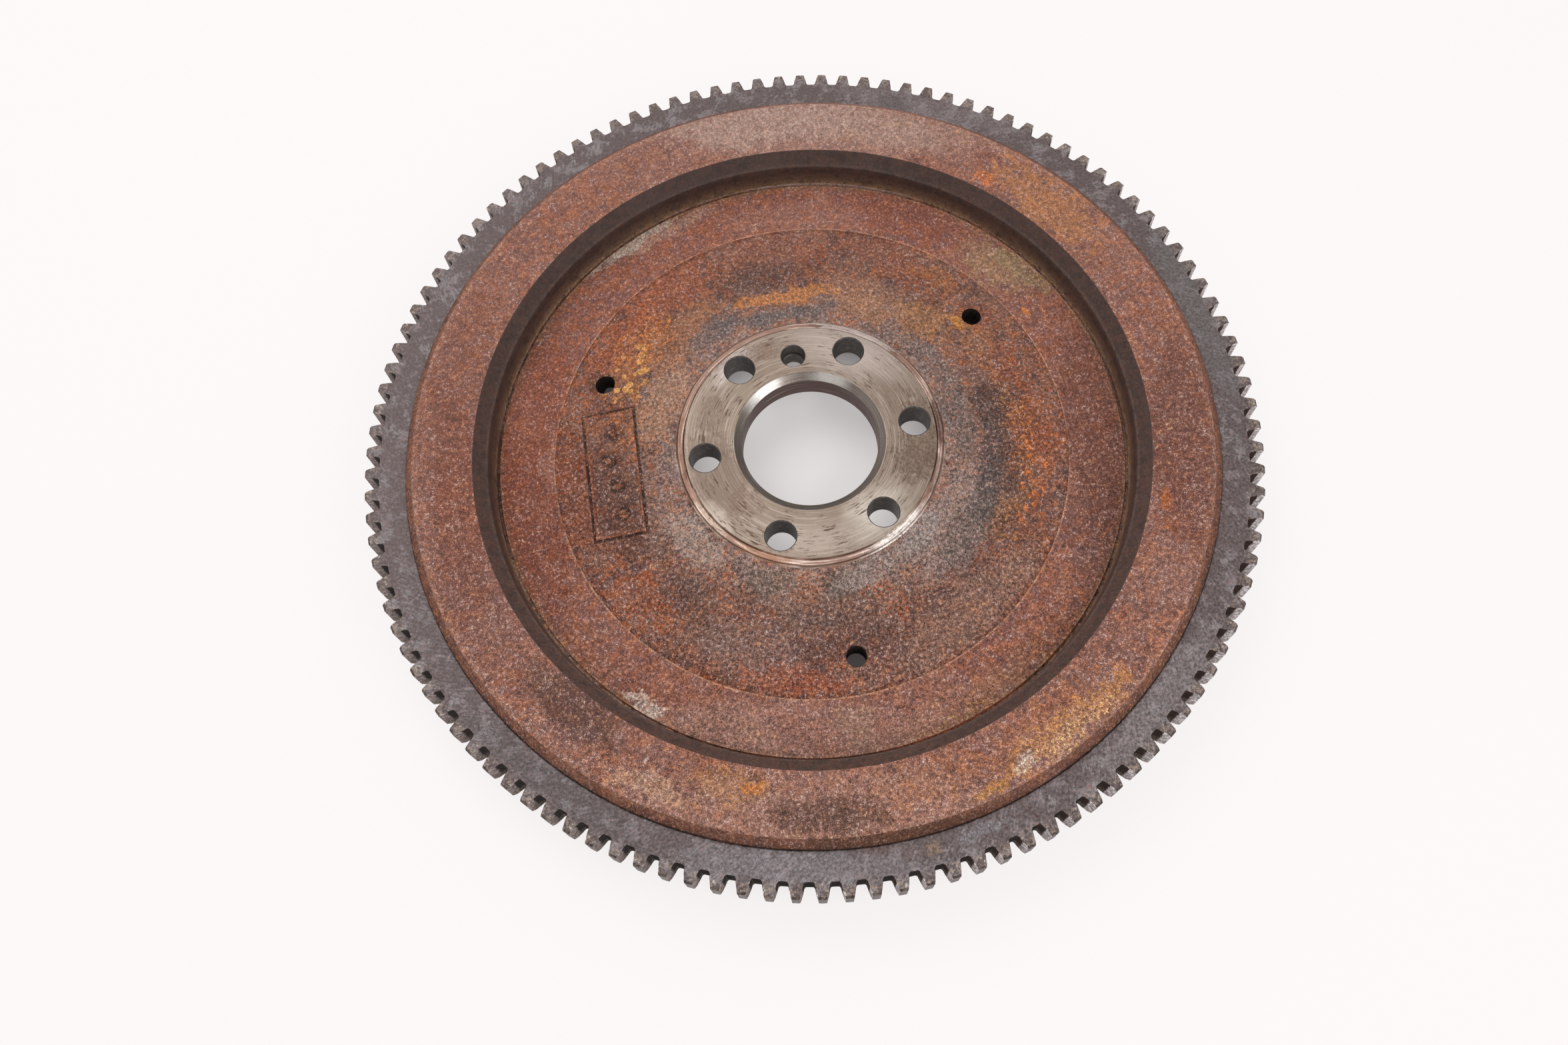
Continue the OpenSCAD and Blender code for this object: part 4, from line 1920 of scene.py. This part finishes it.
WEB_RUST = RustedIron(
    "cast_web",
    (
        (44.0, (168, 146, 136)),
        (52.0, (156, 128, 116)),
        (60.0, (142, 108, 95)),
        (66.0, (130, 92, 79)),
        (76.0, (138, 94, 79)),
        (85.4, (143, 98, 83)),
        (86.3, (122, 70, 52)),
    ),
    (
        Bloom(16.0, 0.46, 0.62, (158, 122, 106), 0.4),
        Bloom(9.0, 0.53, 0.66, (112, 84, 78), 0.5),
        Bloom(1.3, 0.5, 0.6, (196, 102, 48), 0.6, 14.0),
        Bloom(2.2, 0.53, 0.63, (90, 54, 44), 0.5, 9.0),
    ),
    (
        Patch(318, 56, 16, 34, (172, 150, 142), 0.6, 0.8, 0.2),
        Patch(152, 53, 11, 22, (190, 146, 120), 0.65, 0.9, 0.2),
        Patch(60, 60, 12, 24, (178, 134, 112), 0.6, 0.9, 0.2),
        Patch(92, 79, 11, 30, (166, 112, 94), 0.6, 0.9, 0.2),
        Patch(120, 79, 12, 26, (178, 104, 76), 0.65, 1.0, 0.3),
        Patch(60, 80, 9, 22, (160, 104, 86), 0.6, 0.9, 0.2),
        Patch(300, 78, 13, 44, (162, 124, 108), 0.6, 0.9, 0.2),
        Patch(244, 74, 13, 26, (148, 120, 112), 0.55, 0.9, 0.2),
        Patch(-4, 69, 14, 26, (112, 72, 58), 0.5, 0.9, 0.2),
        Patch(182, 80, 10, 36, (142, 74, 48), 0.6, 1.4, 0.5),
        Patch(186, 68, 13, 30, (100, 66, 56), 0.6, 1.0, 0.3),
        Patch(222, 66, 10, 16, (106, 78, 72), 0.5, 1.0, 0.3),
        Patch(335, 66, 11, 26, (94, 72, 66), 0.6, 1.0, 0.3),
        Patch(2, 64, 9, 16, (92, 74, 70), 0.7, 1.0, 0.3),
        Patch(96, 68, 9, 16, (100, 76, 70), 0.6, 1.0, 0.3),
        Patch(272, 51, 7, 10, (118, 104, 94), 0.65, 0.8, 0.2),
        Patch(245, 51, 7, 11, (126, 110, 98), 0.65, 0.8, 0.2),
        Patch(268, 60, 9, 24, (118, 94, 86), 0.5, 0.8, 0.3),
        Patch(272, 70, 7, 24, (104, 76, 70), 0.6, 0.8, 0.3),
        Patch(128, 62, 14, 26, (190, 126, 84), 0.6, 1.2, 0.5),
        Patch(140, 76, 14, 28, (196, 98, 46), 0.55, 1.4, 0.7),
        Patch(134, 71, 10, 20, (228, 148, 82), 0.6, 1.8, 0.9),
        Patch(146, 68, 9, 14, (212, 140, 74), 0.5, 1.4, 0.8),
        Patch(146, 69, 11, 16, (240, 176, 100), 0.85, 1.0, 0.0, 3.4),
        Patch(160, 62, 8, 15, (216, 132, 66), 0.6, 1.8, 0.9),
        Patch(150.8, 76, 7, 7, (84, 66, 58), 0.6, 1.0, 0.3),
        Patch(60, 56, 8, 16, (186, 132, 98), 0.6, 1.2, 0.4),
        Patch(88, 57.5, 4.0, 24, (214, 140, 82), 0.9, 1.2, 0.4),
        Patch(90, 50, 4.5, 30, (116, 110, 110), 0.75, 0.8, 0.2),
        Patch(118, 55, 7, 15, (108, 108, 110), 0.7, 1.0, 0.3),
        Patch(40, 62, 10, 14, (190, 138, 86), 0.5, 1.4, 0.5),
        Patch(30, 52, 6, 14, (130, 118, 114), 0.6, 1.0, 0.3),
        Patch(2, 51, 8, 24, (124, 114, 110), 0.6, 1.0, 0.3),
        Patch(-14, 61, 5, 17, (84, 84, 88), 0.8, 1.8, 0.6),
        Patch(-32, 60.5, 7, 16, (76, 80, 86), 0.8, 1.8, 0.6),
        Patch(-49, 61.5, 8, 15, (76, 78, 84), 0.75, 2.0, 0.7),
        Patch(-40, 60, 11, 24, (128, 104, 88), 0.5, 1.8, 0.8),
        Patch(308, 49, 6, 14, (170, 160, 156), 0.6, 1.0, 0.3),
        Patch(-8, 76, 11, 28, (188, 98, 54), 0.5, 1.6, 0.7),
        Patch(-12, 72, 7, 26, (232, 154, 88), 0.55, 2.0, 1.0),
        Patch(-31, 70, 6, 15, (224, 152, 88), 0.6, 1.8, 0.9),
        Patch(-20, 75, 8, 24, (226, 128, 62), 0.8, 1.2, 0.0, 2.6),
        Patch(4, 70, 6, 16, (232, 158, 96), 0.55, 2.0, 1.0),
        Patch(14, 74, 7, 12, (176, 94, 54), 0.5, 1.6, 0.6),
        Patch(31.6, 68, 2.6, 4.2, (206, 138, 60), 0.9, 0.8, 0.2),
        Patch(24, 70, 8, 16, (208, 142, 88), 0.55, 1.8, 0.9),
        Patch(45, 79, 6, 14, (188, 118, 64), 0.6, 1.6, 0.6),
        Patch(285, 50, 6, 22, (168, 154, 148), 0.55, 1.0, 0.3),
        Patch(212, 52, 9, 18, (184, 166, 156), 0.6, 1.0, 0.3),
        Patch(256, 82, 7, 26, (190, 96, 60), 0.55, 1.6, 0.6),
        Patch(214, 78, 11, 18, (196, 98, 46), 0.6, 2.0, 0.8),
        # A dark ring of painted shade and dirt in each date mark's recess, with rust
        # inside it.
        *(
            Patch(PAD_ANGLE + turn * MARK_PITCH, PAD_RADIUS, size, size, *look)
            for size, *look in (
                (3.9, (48, 36, 33), 1.0, 0.6, 0.2),
                (2.4, (160, 98, 70), 0.9, 0.8, 0.3),
            )
            for turn in MARK_TURNS
        ),
    ),
    mottle=0.55,
    pit=0.7,
    borders=(
        # The dark band is painted shade in the groove round the pad; an orange line runs
        # inside it.
        Border(PAD_ANGLE, PAD_RADIUS, 8.9, 23.1, 0.9, (58, 45, 41), 0.9),
        Border(PAD_ANGLE, PAD_RADIUS, 8.0, 22.2, 0.5, (200, 106, 56), 0.6),
    ),
    grain_size=1.05,
    grain_depth=0.25,
)

LAND_RUST = RustedIron(
    "turned_land",
    (
        # Painted highlight: the light line at 86.9 to 87.4 mm, all round, is light caught
        # by the step at the web's edge.
        (86.9, (218, 168, 138)),
        (87.4, (216, 164, 132)),
        (87.9, (146, 96, 82)),
        (97.0, (142, 91, 77)),
        (103.6, (133, 84, 70)),
        (105.4, (138, 96, 74)),
        (106.0, (164, 126, 92)),
    ),
    (
        Bloom(20.0, 0.46, 0.62, (158, 108, 90), 0.45),
        Bloom(3.4, 0.53, 0.64, (98, 60, 50), 0.45, 12.0),
        Bloom(1.3, 0.5, 0.6, (184, 104, 62), 0.4, 12.0),
    ),
    (
        # Painted light: the broad patches at 258° and 82° are lighter and those at 186°
        # and -6° darker, as the light falls on the land.
        Patch(258, 98, 15, 90, (166, 124, 110), 0.55, 0.8, 0.2),
        Patch(288, 102, 10, 40, (168, 122, 102), 0.5, 0.8, 0.2),
        Patch(82, 93, 9, 40, (164, 116, 100), 0.5, 0.8, 0.3),
        Patch(60, 99, 14, 30, (136, 78, 62), 0.55, 0.8, 0.2),
        Patch(110, 101.5, 5, 26, (178, 146, 130), 0.6, 1.4, 0.5),
        Patch(118, 104.6, 3.4, 24, (198, 182, 166), 0.9, 1.3, 0.55),
        Patch(160, 97, 14, 46, (140, 72, 48), 0.55, 1.0, 0.4),
        Patch(186, 97, 15, 44, (122, 62, 44), 0.6, 0.9, 0.3),
        Patch(36, 97, 12, 20, (162, 132, 102), 0.65, 1.4, 0.4),
        Patch(32, 103, 5, 18, (146, 126, 92), 0.6, 1.2, 0.3),
        Patch(23.9, 92.8, 1.8, 2.6, (222, 134, 66), 0.9, 0.8, 0.2),
        Patch(-24, 97, 12, 30, (108, 72, 64), 0.55, 1.0, 0.3),
        Patch(229, 102.5, 3.4, 9, (228, 212, 198), 0.9, 1.7, 0.7),
        Patch(268, 97, 10, 8, (156, 134, 112), 0.5),
        Patch(300, 101, 6, 30, (168, 118, 80), 0.4),
        Patch(-6, 96, 14, 56, (114, 70, 58), 0.65, 0.9, 0.2),
        Patch(145, 104, 5, 30, (112, 78, 66), 0.5),
        Patch(245, 100, 9, 24, (160, 124, 108), 0.5),
        Patch(285, 105.2, 2.2, 80, (206, 160, 96), 0.75, 3.0, 1.0),
    ),
    turned=0.12,
    grain_size=1.0,
    glint_share=0.65,
    pit=0.62,
)

# Painted light: the groove's colours are far lighter than the iron's, to lift the shade
# deep in the narrow groove; its patches are lighter at the far and near sides and darker
# at the right and left.
GROOVE_RUST = RustedIron(
    "relief_groove",
    ((106.0, (182, 144, 122)), (106.6, (156, 128, 118)), (107.3, (184, 148, 126))),
    (
        Bloom(5.0, 0.5, 0.62, (196, 150, 108), 0.5),
        Bloom(3.0, 0.5, 0.6, (66, 50, 40), 0.5),
    ),
    (
        Patch(75, 106.5, 6, 76, (196, 168, 156), 0.6, 0.6, 0.1),
        Patch(0, 106.5, 6, 24, (112, 74, 62), 0.7, 0.6, 0.1),
        Patch(176, 106.5, 6, 44, (104, 62, 50), 0.75, 0.6, 0.1),
        Patch(285, 106.5, 6, 44, (220, 164, 136), 0.65, 0.6, 0.1),
    ),
    glint_share=0.3,
)

WALL_RUST = RustedIron(
    "dish_wall",
    (
        (107.2, (168, 136, 104)),
        (107.5, (118, 92, 76)),
        (107.9, (76, 57, 51)),
        # Painted sheen: the lighter line at 108.6 mm.
        (108.6, (96, 78, 72)),
        (109.2, (80, 60, 54)),
        (112.5, (80, 59, 53)),
    ),
    (
        Bloom(14.0, 0.48, 0.64, (92, 70, 63), 0.5),
        Bloom(3.0, 0.52, 0.64, (62, 45, 39), 0.5),
    ),
    warm=(96, 66, 54),
    cool=(64, 54, 52),
    mottle=0.5,
    glint_colour=(150, 122, 106),
    glint_gold=(150, 112, 84),
    glint_share=0.2,
    pit=0.22,
    grain_depth=0.03,
    roughness=0.6,
    # Painted light: the wall is darker at the far side and lighter at the near side.
    far_painted_light=0.78,
    near_painted_light=1.16,
)

RIM_RUST = RustedIron(
    "rim_top",
    (
        (111.6, (186, 144, 124)),
        (112.6, (147, 99, 84)),
        (122.0, (146, 97, 82)),
        (130.0, (149, 101, 87)),
        (132.5, (166, 120, 102)),
    ),
    (
        Bloom(18.0, 0.46, 0.62, (156, 112, 98), 0.45),
        Bloom(2.4, 0.55, 0.63, (92, 58, 50), 0.55, 12.0),
        Bloom(1.3, 0.52, 0.6, (194, 112, 64), 0.4, 12.0),
    ),
    (
        # Painted light: the broad patches at 78° and 262° are lighter and those at 180°,
        # 160°, 196° and -12° darker, as the light falls on the rim.
        Patch(78, 122, 20, 110, (170, 134, 120), 0.6, 0.8, 0.3),
        Patch(262, 124, 16, 100, (168, 124, 108), 0.55, 0.8, 0.2),
        Patch(180, 118, 12, 60, (126, 68, 50), 0.6, 0.9, 0.3),
        Patch(86, 124, 12, 48, (188, 162, 150), 0.65, 1.4, 0.5),
        Patch(66, 124, 10, 28, (184, 156, 142), 0.55, 1.4, 0.5),
        Patch(36, 122, 14, 32, (196, 134, 84), 0.65, 1.6, 0.6),
        Patch(47, 116.5, 2.5, 4.5, (214, 116, 50), 0.8, 1.6, 0.6),
        Patch(-22, 117, 3.5, 6, (220, 122, 54), 1.0, 1.0, 0.4),
        Patch(-26, 121, 3, 5, (200, 114, 60), 0.8, 1.2),
        Patch(-12, 122, 16, 56, (112, 68, 58), 0.65, 0.8, 0.2),
        Patch(160, 122, 15, 56, (134, 88, 74), 0.45, 0.8, 0.3),
        Patch(196, 122, 14, 40, (126, 84, 74), 0.45, 0.8, 0.3),
        Patch(221, 118, 12, 28, (94, 66, 59), 0.75, 0.7, 0.1),
        Patch(236, 127, 5, 18, (204, 164, 134), 0.65),
        Patch(248, 120, 8, 18, (188, 134, 82), 0.55),
        Patch(251, 119, 3, 5, (218, 130, 44), 0.9),
        Patch(262, 126, 8, 26, (88, 60, 51), 0.75, 1.4, 0.3),
        Patch(276, 121, 9, 26, (184, 120, 72), 0.55, 2.0, 0.9),
        Patch(296, 122, 11, 42, (186, 108, 56), 0.6, 2.2, 0.9),
        Patch(298, 126, 8, 34, (214, 152, 82), 0.8, 1.8, 0.8),
        Patch(298, 128.5, 4, 22, (250, 214, 156), 0.8, 1.8, 1.0),
        # Painted glints: the near-white spot at 290°.
        Patch(290, 128, 3, 6, (244, 226, 204), 0.9, 1.4, 0.8),
        Patch(284, 130, 3, 8, (196, 136, 66), 0.8, 1.4, 0.6),
    ),
    warm=(174, 108, 78),
    cool=(118, 88, 86),
    turned=0.05,
    grain_size=1.0,
    glint_share=0.75,
    pit=0.6,
)

BEVEL_RUST = RustedIron(
    "rim_bevel",
    (
        (132.5, (196, 150, 124)),
        (133.0, (132, 86, 70)),
        (134.6, (118, 74, 60)),
        # Painted shade: the dark edge where the bevel meets the ring gear.
        (135.5, (66, 42, 36)),
    ),
    (
        Bloom(12.0, 0.48, 0.62, (144, 100, 82), 0.5),
        Bloom(3.0, 0.5, 0.62, (84, 50, 40), 0.5),
        Bloom(1.4, 0.5, 0.6, (176, 106, 60), 0.4, 9.0),
    ),
    (
        # Painted light: lighter at the far side and darker at the near side.
        Patch(75, 134, 5, 110, (168, 124, 108), 0.55, 0.8),
        Patch(270, 134.4, 5, 170, (92, 58, 42), 0.75, 0.6, 0.2),
    ),
    warm=(150, 98, 68),
    cool=(98, 70, 62),
    # Painted light: lighter at the far side and darker at the near side.
    far_painted_light=1.07,
    near_painted_light=0.93,
    grain_depth=0.06,
    glint_share=0.4,
    pit=0.4,
)

BACK_RUST = RustedIron(
    "back_cast",
    ((40.0, (124, 98, 86)), (140.0, (116, 82, 70))),
    (
        Bloom(16.0, 0.46, 0.62, (142, 106, 88), 0.5),
        Bloom(5.0, 0.5, 0.64, (84, 56, 46), 0.5),
        Bloom(1.6, 0.5, 0.6, (156, 96, 60), 0.4, 14.0),
    ),
    grain_size=1.5,
    grain_depth=0.18,
    glint_share=0.35,
)


# ------------------------------------------------------------------- ring gear

# How close a vertex has to be to a drawn place, in millimetres.
NEAR = 0.01


class RingZone(Enum):
    """The ring gear's surfaces."""

    END = "end_face"
    TIP = "tooth_tip"
    DRIVEN = "driven_flank"
    COAST = "coast_flank"
    FLOOR = "gap_floor"


@dataclass
class StarterRing:
    """The toothed steel ring, shrunk on the disc."""

    teeth: int = 116
    module: float = 2.54
    pressure_angle: float = 14.5
    dedendum: float = 2.42
    tooth_width: float = 3.85
    first_tooth: float = 0.25
    seat_r: float = 135.5
    collar_r: float = 139.0
    top: float = 1.0
    bottom: float = -11.0
    tip_bevel: float = 0.8
    entry_bevel: float = 1.2
    bore_bevel: float = 0.4
    root_round: float = 0.5
    edge: float = 0.12

    @property
    def pitch_r(self) -> float:
        """Radius of the pitch circle."""
        return self.module * self.teeth / 2

    @property
    def tip_r(self) -> float:
        """Radius of the tooth tips."""
        return self.pitch_r + self.module

    @property
    def root_r(self) -> float:
        """Radius of the gap floors."""
        return self.pitch_r - self.dedendum

    def half_tooth(self, r: float) -> float:
        """Half the angle that a tooth takes up at a radius.

        Args:
            r: The radius, in millimetres.

        Returns:
            The angle in radians.
        """

        def involute(angle: float) -> float:
            """Involute function."""
            return math.tan(angle) - angle

        base_r = self.pitch_r * math.cos(math.radians(self.pressure_angle))
        return (
            self.tooth_width / self.pitch_r / 2
            + involute(math.radians(self.pressure_angle))
            - involute(math.acos(base_r / r))
        )

    def outline(self, bevel: float) -> list[Vector]:
        """One tooth with half a gap on each side, cut back to a bevel's radius.

        Args:
            bevel: How far under the tip the outline stops, in millimetres.

        Returns:
            Points in order, clockwise side first, at height 0.
        """
        pitch = math.pi / self.teeth
        limit = self.tip_r - bevel
        foot = self.root_r + self.root_round
        radii = [foot, foot + 1.3, self.pitch_r + 0.6]
        radii += [self.tip_r - self.tip_bevel, self.tip_r]
        gap = self.half_tooth(foot) + self.root_round * 0.8 / self.root_r
        side = [(self.root_r, pitch), (self.root_r, (pitch + gap) / 2)]
        side += [(self.root_r + 0.03, gap)]
        side += [(min(r, limit), self.half_tooth(min(r, limit))) for r in radii]
        points = [(r, -a) for r, a in side]
        points += [(limit, 0.0)]
        points += [(r, a) for r, a in reversed(side)]
        return [Vector((r * math.cos(a), r * math.sin(a), 0.0)) for r, a in points]

    def arc(self, r: float, z: float) -> list[Vector]:
        """Points of the ring's body under one tooth, from the left side back.

        Args:
            r: Radius in millimetres.
            z: Height in millimetres.

        Returns:
            The points, in order.
        """
        pitch = math.pi / self.teeth
        turns = [pitch * (1 - k / 2) for k in range(5)]
        return [Vector((r * math.cos(a), r * math.sin(a), z)) for a in turns]

    def sector(self) -> Workpiece:
        """Models one tooth with its share of the ring.

        Returns:
            An open piece whose two sides meet their neighbours'.
        """
        lift = Vector((0.0, 0.0, self.top))
        loop = [point + lift for point in self.outline(self.tip_bevel)]
        body = self.arc(self.collar_r, self.top)
        line = loop + body
        piece = Workpiece("toothed_ring", line[0]).draw(line)
        self.link(piece, self.top)
        self.fill(piece, self.top)
        self.drop_teeth(piece)
        self.wrap_body(piece)
        self.link(piece, self.bottom, both=True)
        self.fill(piece, self.bottom)
        return piece.tidy(0.001)

    def link(self, piece: Workpiece, z: float, both: bool = False) -> None:
        """Joins the teeth's outline to the body's arc where they aren't joined.

        Args:
            piece: The sector.
            z: Height of the face, in millimetres.
            both: True if neither side is joined yet.
        """
        pitch = math.pi / self.teeth
        for side in (-1, 1) if both else (-1,):

            def at_side(v: Vector, side: int = side) -> bool:
                """True for the two ends of the line along one side."""
                turn, r = math.atan2(v.y, v.x), off_axis(v)
                if abs(v.z - z) > NEAR or abs(turn - side * pitch) > 1e-5:
                    return False
                return abs(r - self.collar_r) < NEAR or abs(r - self.root_r) < NEAR

            piece.pick("VERT", at_side)
            piece.join_picked()

    def fill(self, piece: Workpiece, z: float) -> None:
        """Fills an end face between the teeth's outline and the body's arc.

        Args:
            piece: The sector.
            z: Height of the face, in millimetres.
        """
        self.pick_level(piece, z, self.collar_r)
        piece.join_picked()

    @staticmethod
    def pick_level(piece: Workpiece, z: float, low: float) -> None:
        """Selects the edges that lie at one height, from a radius outwards.

        Args:
            piece: The sector.
            z: The height, in millimetres.
            low: The radius, in millimetres.
        """
        piece.pick(
            "EDGE",
            lambda ends: all(
                abs(v.z - z) < NEAR and off_axis(v) > low - NEAR for v in ends
            ),
        )

    def drop_teeth(self, piece: Workpiece) -> None:
        """Pulls the outline down through the bevels and the length of the teeth.

        Args:
            piece: The sector.
        """
        levels = (
            (self.top, self.top - self.tip_bevel, 0.0),
            (self.top - self.tip_bevel, self.bottom + self.entry_bevel, 0.0),
            (self.bottom + self.entry_bevel, self.bottom, self.entry_bevel),
        )
        count = len(self.outline(0.0))
        for start, end, bevel in levels:
            self.pick_level(piece, start, self.root_r)
            bpy.ops.mesh.extrude_edges_move(
                TRANSFORM_OT_translate={"value": (0.0, 0.0, (end - start) * MM)}
            )
            piece.leave()
            fresh = list(piece.body.data.vertices)[-count:]
            self.settle(fresh, self.outline(bevel), end)

    def settle(
        self, vertices: Sequence[bpy.types.MeshVertex], outline: list[Vector], z: float
    ) -> None:
        """Slides vertices of one level on to an outline.

        Args:
            vertices: The level's vertices, in any order.
            outline: Where they go.
            z: The level's height.
        """
        for vertex, target in zip(vertices, outline):
            vertex.co = Vector((target.x, target.y, z)) * MM

    def wrap_body(self, piece: Workpiece) -> None:
        """Pulls the body's arc round the ring's inside to the other end face.

        Args:
            piece: The sector.
        """
        stations = [
            (self.collar_r, self.top),
            (self.seat_r + self.bore_bevel, self.top),
            (self.seat_r, self.top - self.bore_bevel),
            (self.seat_r, self.bottom + self.bore_bevel),
            (self.seat_r + self.bore_bevel, self.bottom),
            (self.collar_r, self.bottom),
        ]
        for (r0, z0), (r1, z1) in zip(stations, stations[1:]):
            piece.pick(
                "EDGE",
                lambda ends: all(
                    abs(v.z - z0) < NEAR and abs(off_axis(v) - r0) < NEAR
                    for v in ends
                ),
            )
            bpy.ops.mesh.extrude_edges_move(
                TRANSFORM_OT_translate={"value": (0.0, 0.0, (z1 - z0) * MM)}
            )
            bpy.ops.transform.resize(
                value=(r1 / r0, r1 / r0, 1.0), center_override=(0.0, 0.0, 0.0)
            )
            piece.leave()

    def zone_of(self, face: bpy.types.MeshPolygon) -> RingZone:
        """The zone of a face, by its place and normal.

        Args:
            face: A face of the finished ring.

        Returns:
            Its zone.
        """
        middle, normal = face.center / MM, face.normal
        r = off_axis(middle)
        out = Vector((middle.x, middle.y, 0.0)) / r
        round_ = Vector((-out.y, out.x, 0.0))
        if r < self.root_r - 0.5 or abs(normal.z) > 0.85:
            return RingZone.END
        if r > self.tip_r - self.entry_bevel - 0.1 and normal.dot(out) > 0.55:
            return RingZone.TIP
        if normal.dot(round_) > 0.5:
            return RingZone.DRIVEN
        if normal.dot(round_) < -0.5:
            return RingZone.COAST
        if normal.dot(out) > 0.3 and r < self.root_r + 0.8:
            return RingZone.FLOOR
        return RingZone.END

    def finishes(self) -> dict[RingZone, bpy.types.Material]:
        """The material of each zone."""
        looks = {
            RingZone.END: ScaledSteel(
                "ring_face",
                worn_share=0.5,
                patches=(
                    Patch(8, 140, 8, 50, (112, 108, 107), 0.6, 1.0, 0.2),
                    Patch(268, 140, 9, 15, (98, 76, 70), 0.5, 0.9, 0.3),
                    Patch(281.5, 140, 4, 11, (148, 147, 152), 0.6),
                    # Painted sheen: the pale patches at 258°, 310° and 62°, where the
                    # light falls on the near and far sides.
                    Patch(258, 140, 7, 56, (146, 142, 146), 0.5, 1.2, 0.5),
                    Patch(310, 140, 7, 44, (150, 142, 142), 0.5, 1.2, 0.5),
                    Patch(62, 140, 7, 50, (142, 130, 130), 0.5, 1.2, 0.5),
                    Patch(275.0, 139.5, 3.5, 2.6, (148, 122, 96), 0.8, 0.9),
                    Patch(276.2, 140, 6.0, 0.35, (66, 56, 56), 0.8, 0.4),
                    Patch(287.7, 140, 6.0, 0.45, (92, 54, 48), 0.9, 0.4),
                    Patch(67, 140, 5, 8, (60, 54, 56), 0.5),
                    Patch(225, 140, 6, 60, (84, 78, 80), 0.5, 0.9),
                    Patch(180, 140, 6, 50, (112, 96, 94), 0.4, 0.9),
                ),
            ),
            RingZone.TIP: ScaledSteel(
                "tooth_tip",
                colour=(70, 60, 56),
                pale=(116, 102, 95),
                rust=(88, 56, 44),
                worn=(170, 152, 138),
                worn_share=0.2,
                roughness=0.4,
            ),
            # Both flanks: dark oxide painted darker still as the shade in the gaps, with
            # polished wear near the tips painted lighter than the steel to lift that
            # shade.
            RingZone.DRIVEN: ScaledSteel(
                "driven_flank",
                colour=(40, 33, 30),
                pale=(58, 50, 46),
                rust=(66, 45, 37),
                foot=(132, 120, 108),
                foot_share=0.5,
                worn=(178, 162, 158),
                bright=(222, 212, 208),
                worn_share=0.8,
                worn_from=146.7,
                worn_to=147.5,
                worn_tear=0.3,
                worn_wander=1.4,
                roughness=0.7,
                metallic=0.0,
                specular=0.15,
            ),
            RingZone.COAST: ScaledSteel(
                "coast_flank",
                colour=(62, 45, 38),
                pale=(76, 58, 50),
                rust=(92, 56, 43),
                foot_share=0.3,
                worn=(238, 230, 230),
                bright=(252, 250, 249),
                worn_share=0.95,
                worn_from=147.1,
                worn_to=147.7,
                worn_tear=0.4,
                worn_wander=1.2,
                roughness=0.75,
                metallic=0.0,
                specular=0.1,
            ),
            # Painted shade: the gap floors are near black, the shade deep between the
            # teeth.
            RingZone.FLOOR: ScaledSteel(
                "gap_floor",
                colour=(24, 21, 20),
                pale=(44, 38, 35),
                roughness=0.8,
                metallic=0.0,
                specular=0.1,
            ),
        }
        return {zone: look.material() for zone, look in looks.items()}

    def build(self) -> Workpiece:
        """Makes the ring.

        Returns:
            The finished piece, riding on the frame.
        """
        piece = self.sector()
        piece.moved(Matrix.Rotation(math.radians(self.first_tooth), 4, "Z"))
        piece.edit(everything=True)
        bpy.ops.mesh.spin(
            steps=self.teeth,
            dupli=True,
            angle=2 * math.pi,
            center=(0.0, 0.0, 0.0),
            axis=(0.0, 0.0, 1.0),
        )
        piece.leave()
        piece.tidy(0.004)
        piece.break_edges(self.edge, 1, 35)
        piece.dress(self.finishes(), self.zone_of)
        piece.smooth(32.0)
        piece.ride("gear_steel", "starter_ring_gear")
        return piece


# ---------------------------------------------------------------------- dowels


@dataclass
class CoverDowels:
    """The three ground pins for the clutch cover, kept as the frame has them."""

    names: tuple[str, ...] = ("clutch_dowel_1", "clutch_dowel_2", "clutch_dowel_3")

    def build(self) -> None:
        """Gives each pin its finish."""
        finish = TurnedSteel(
            "ground_pin", (186, 184, 180), stain_share=0.25, roughness=0.3
        ).material()
        for name in self.names:
            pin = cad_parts[name]
            pin.data.materials.clear()
            pin.data.materials.append(finish)


def main() -> None:
    """Builds the studio and every piece, and reports each."""
    logging.basicConfig(level=logging.INFO, format="%(name)s: %(message)s")
    Studio().build()
    for maker in (FlywheelDisc(), StarterRing()):
        piece = maker.build()
        log.info("%s: %d faces", piece.body.name, len(piece.body.data.polygons))
    CoverDowels().build()
    log.info("clutch dowels: dressed")


if __name__ == "__main__":
    main()
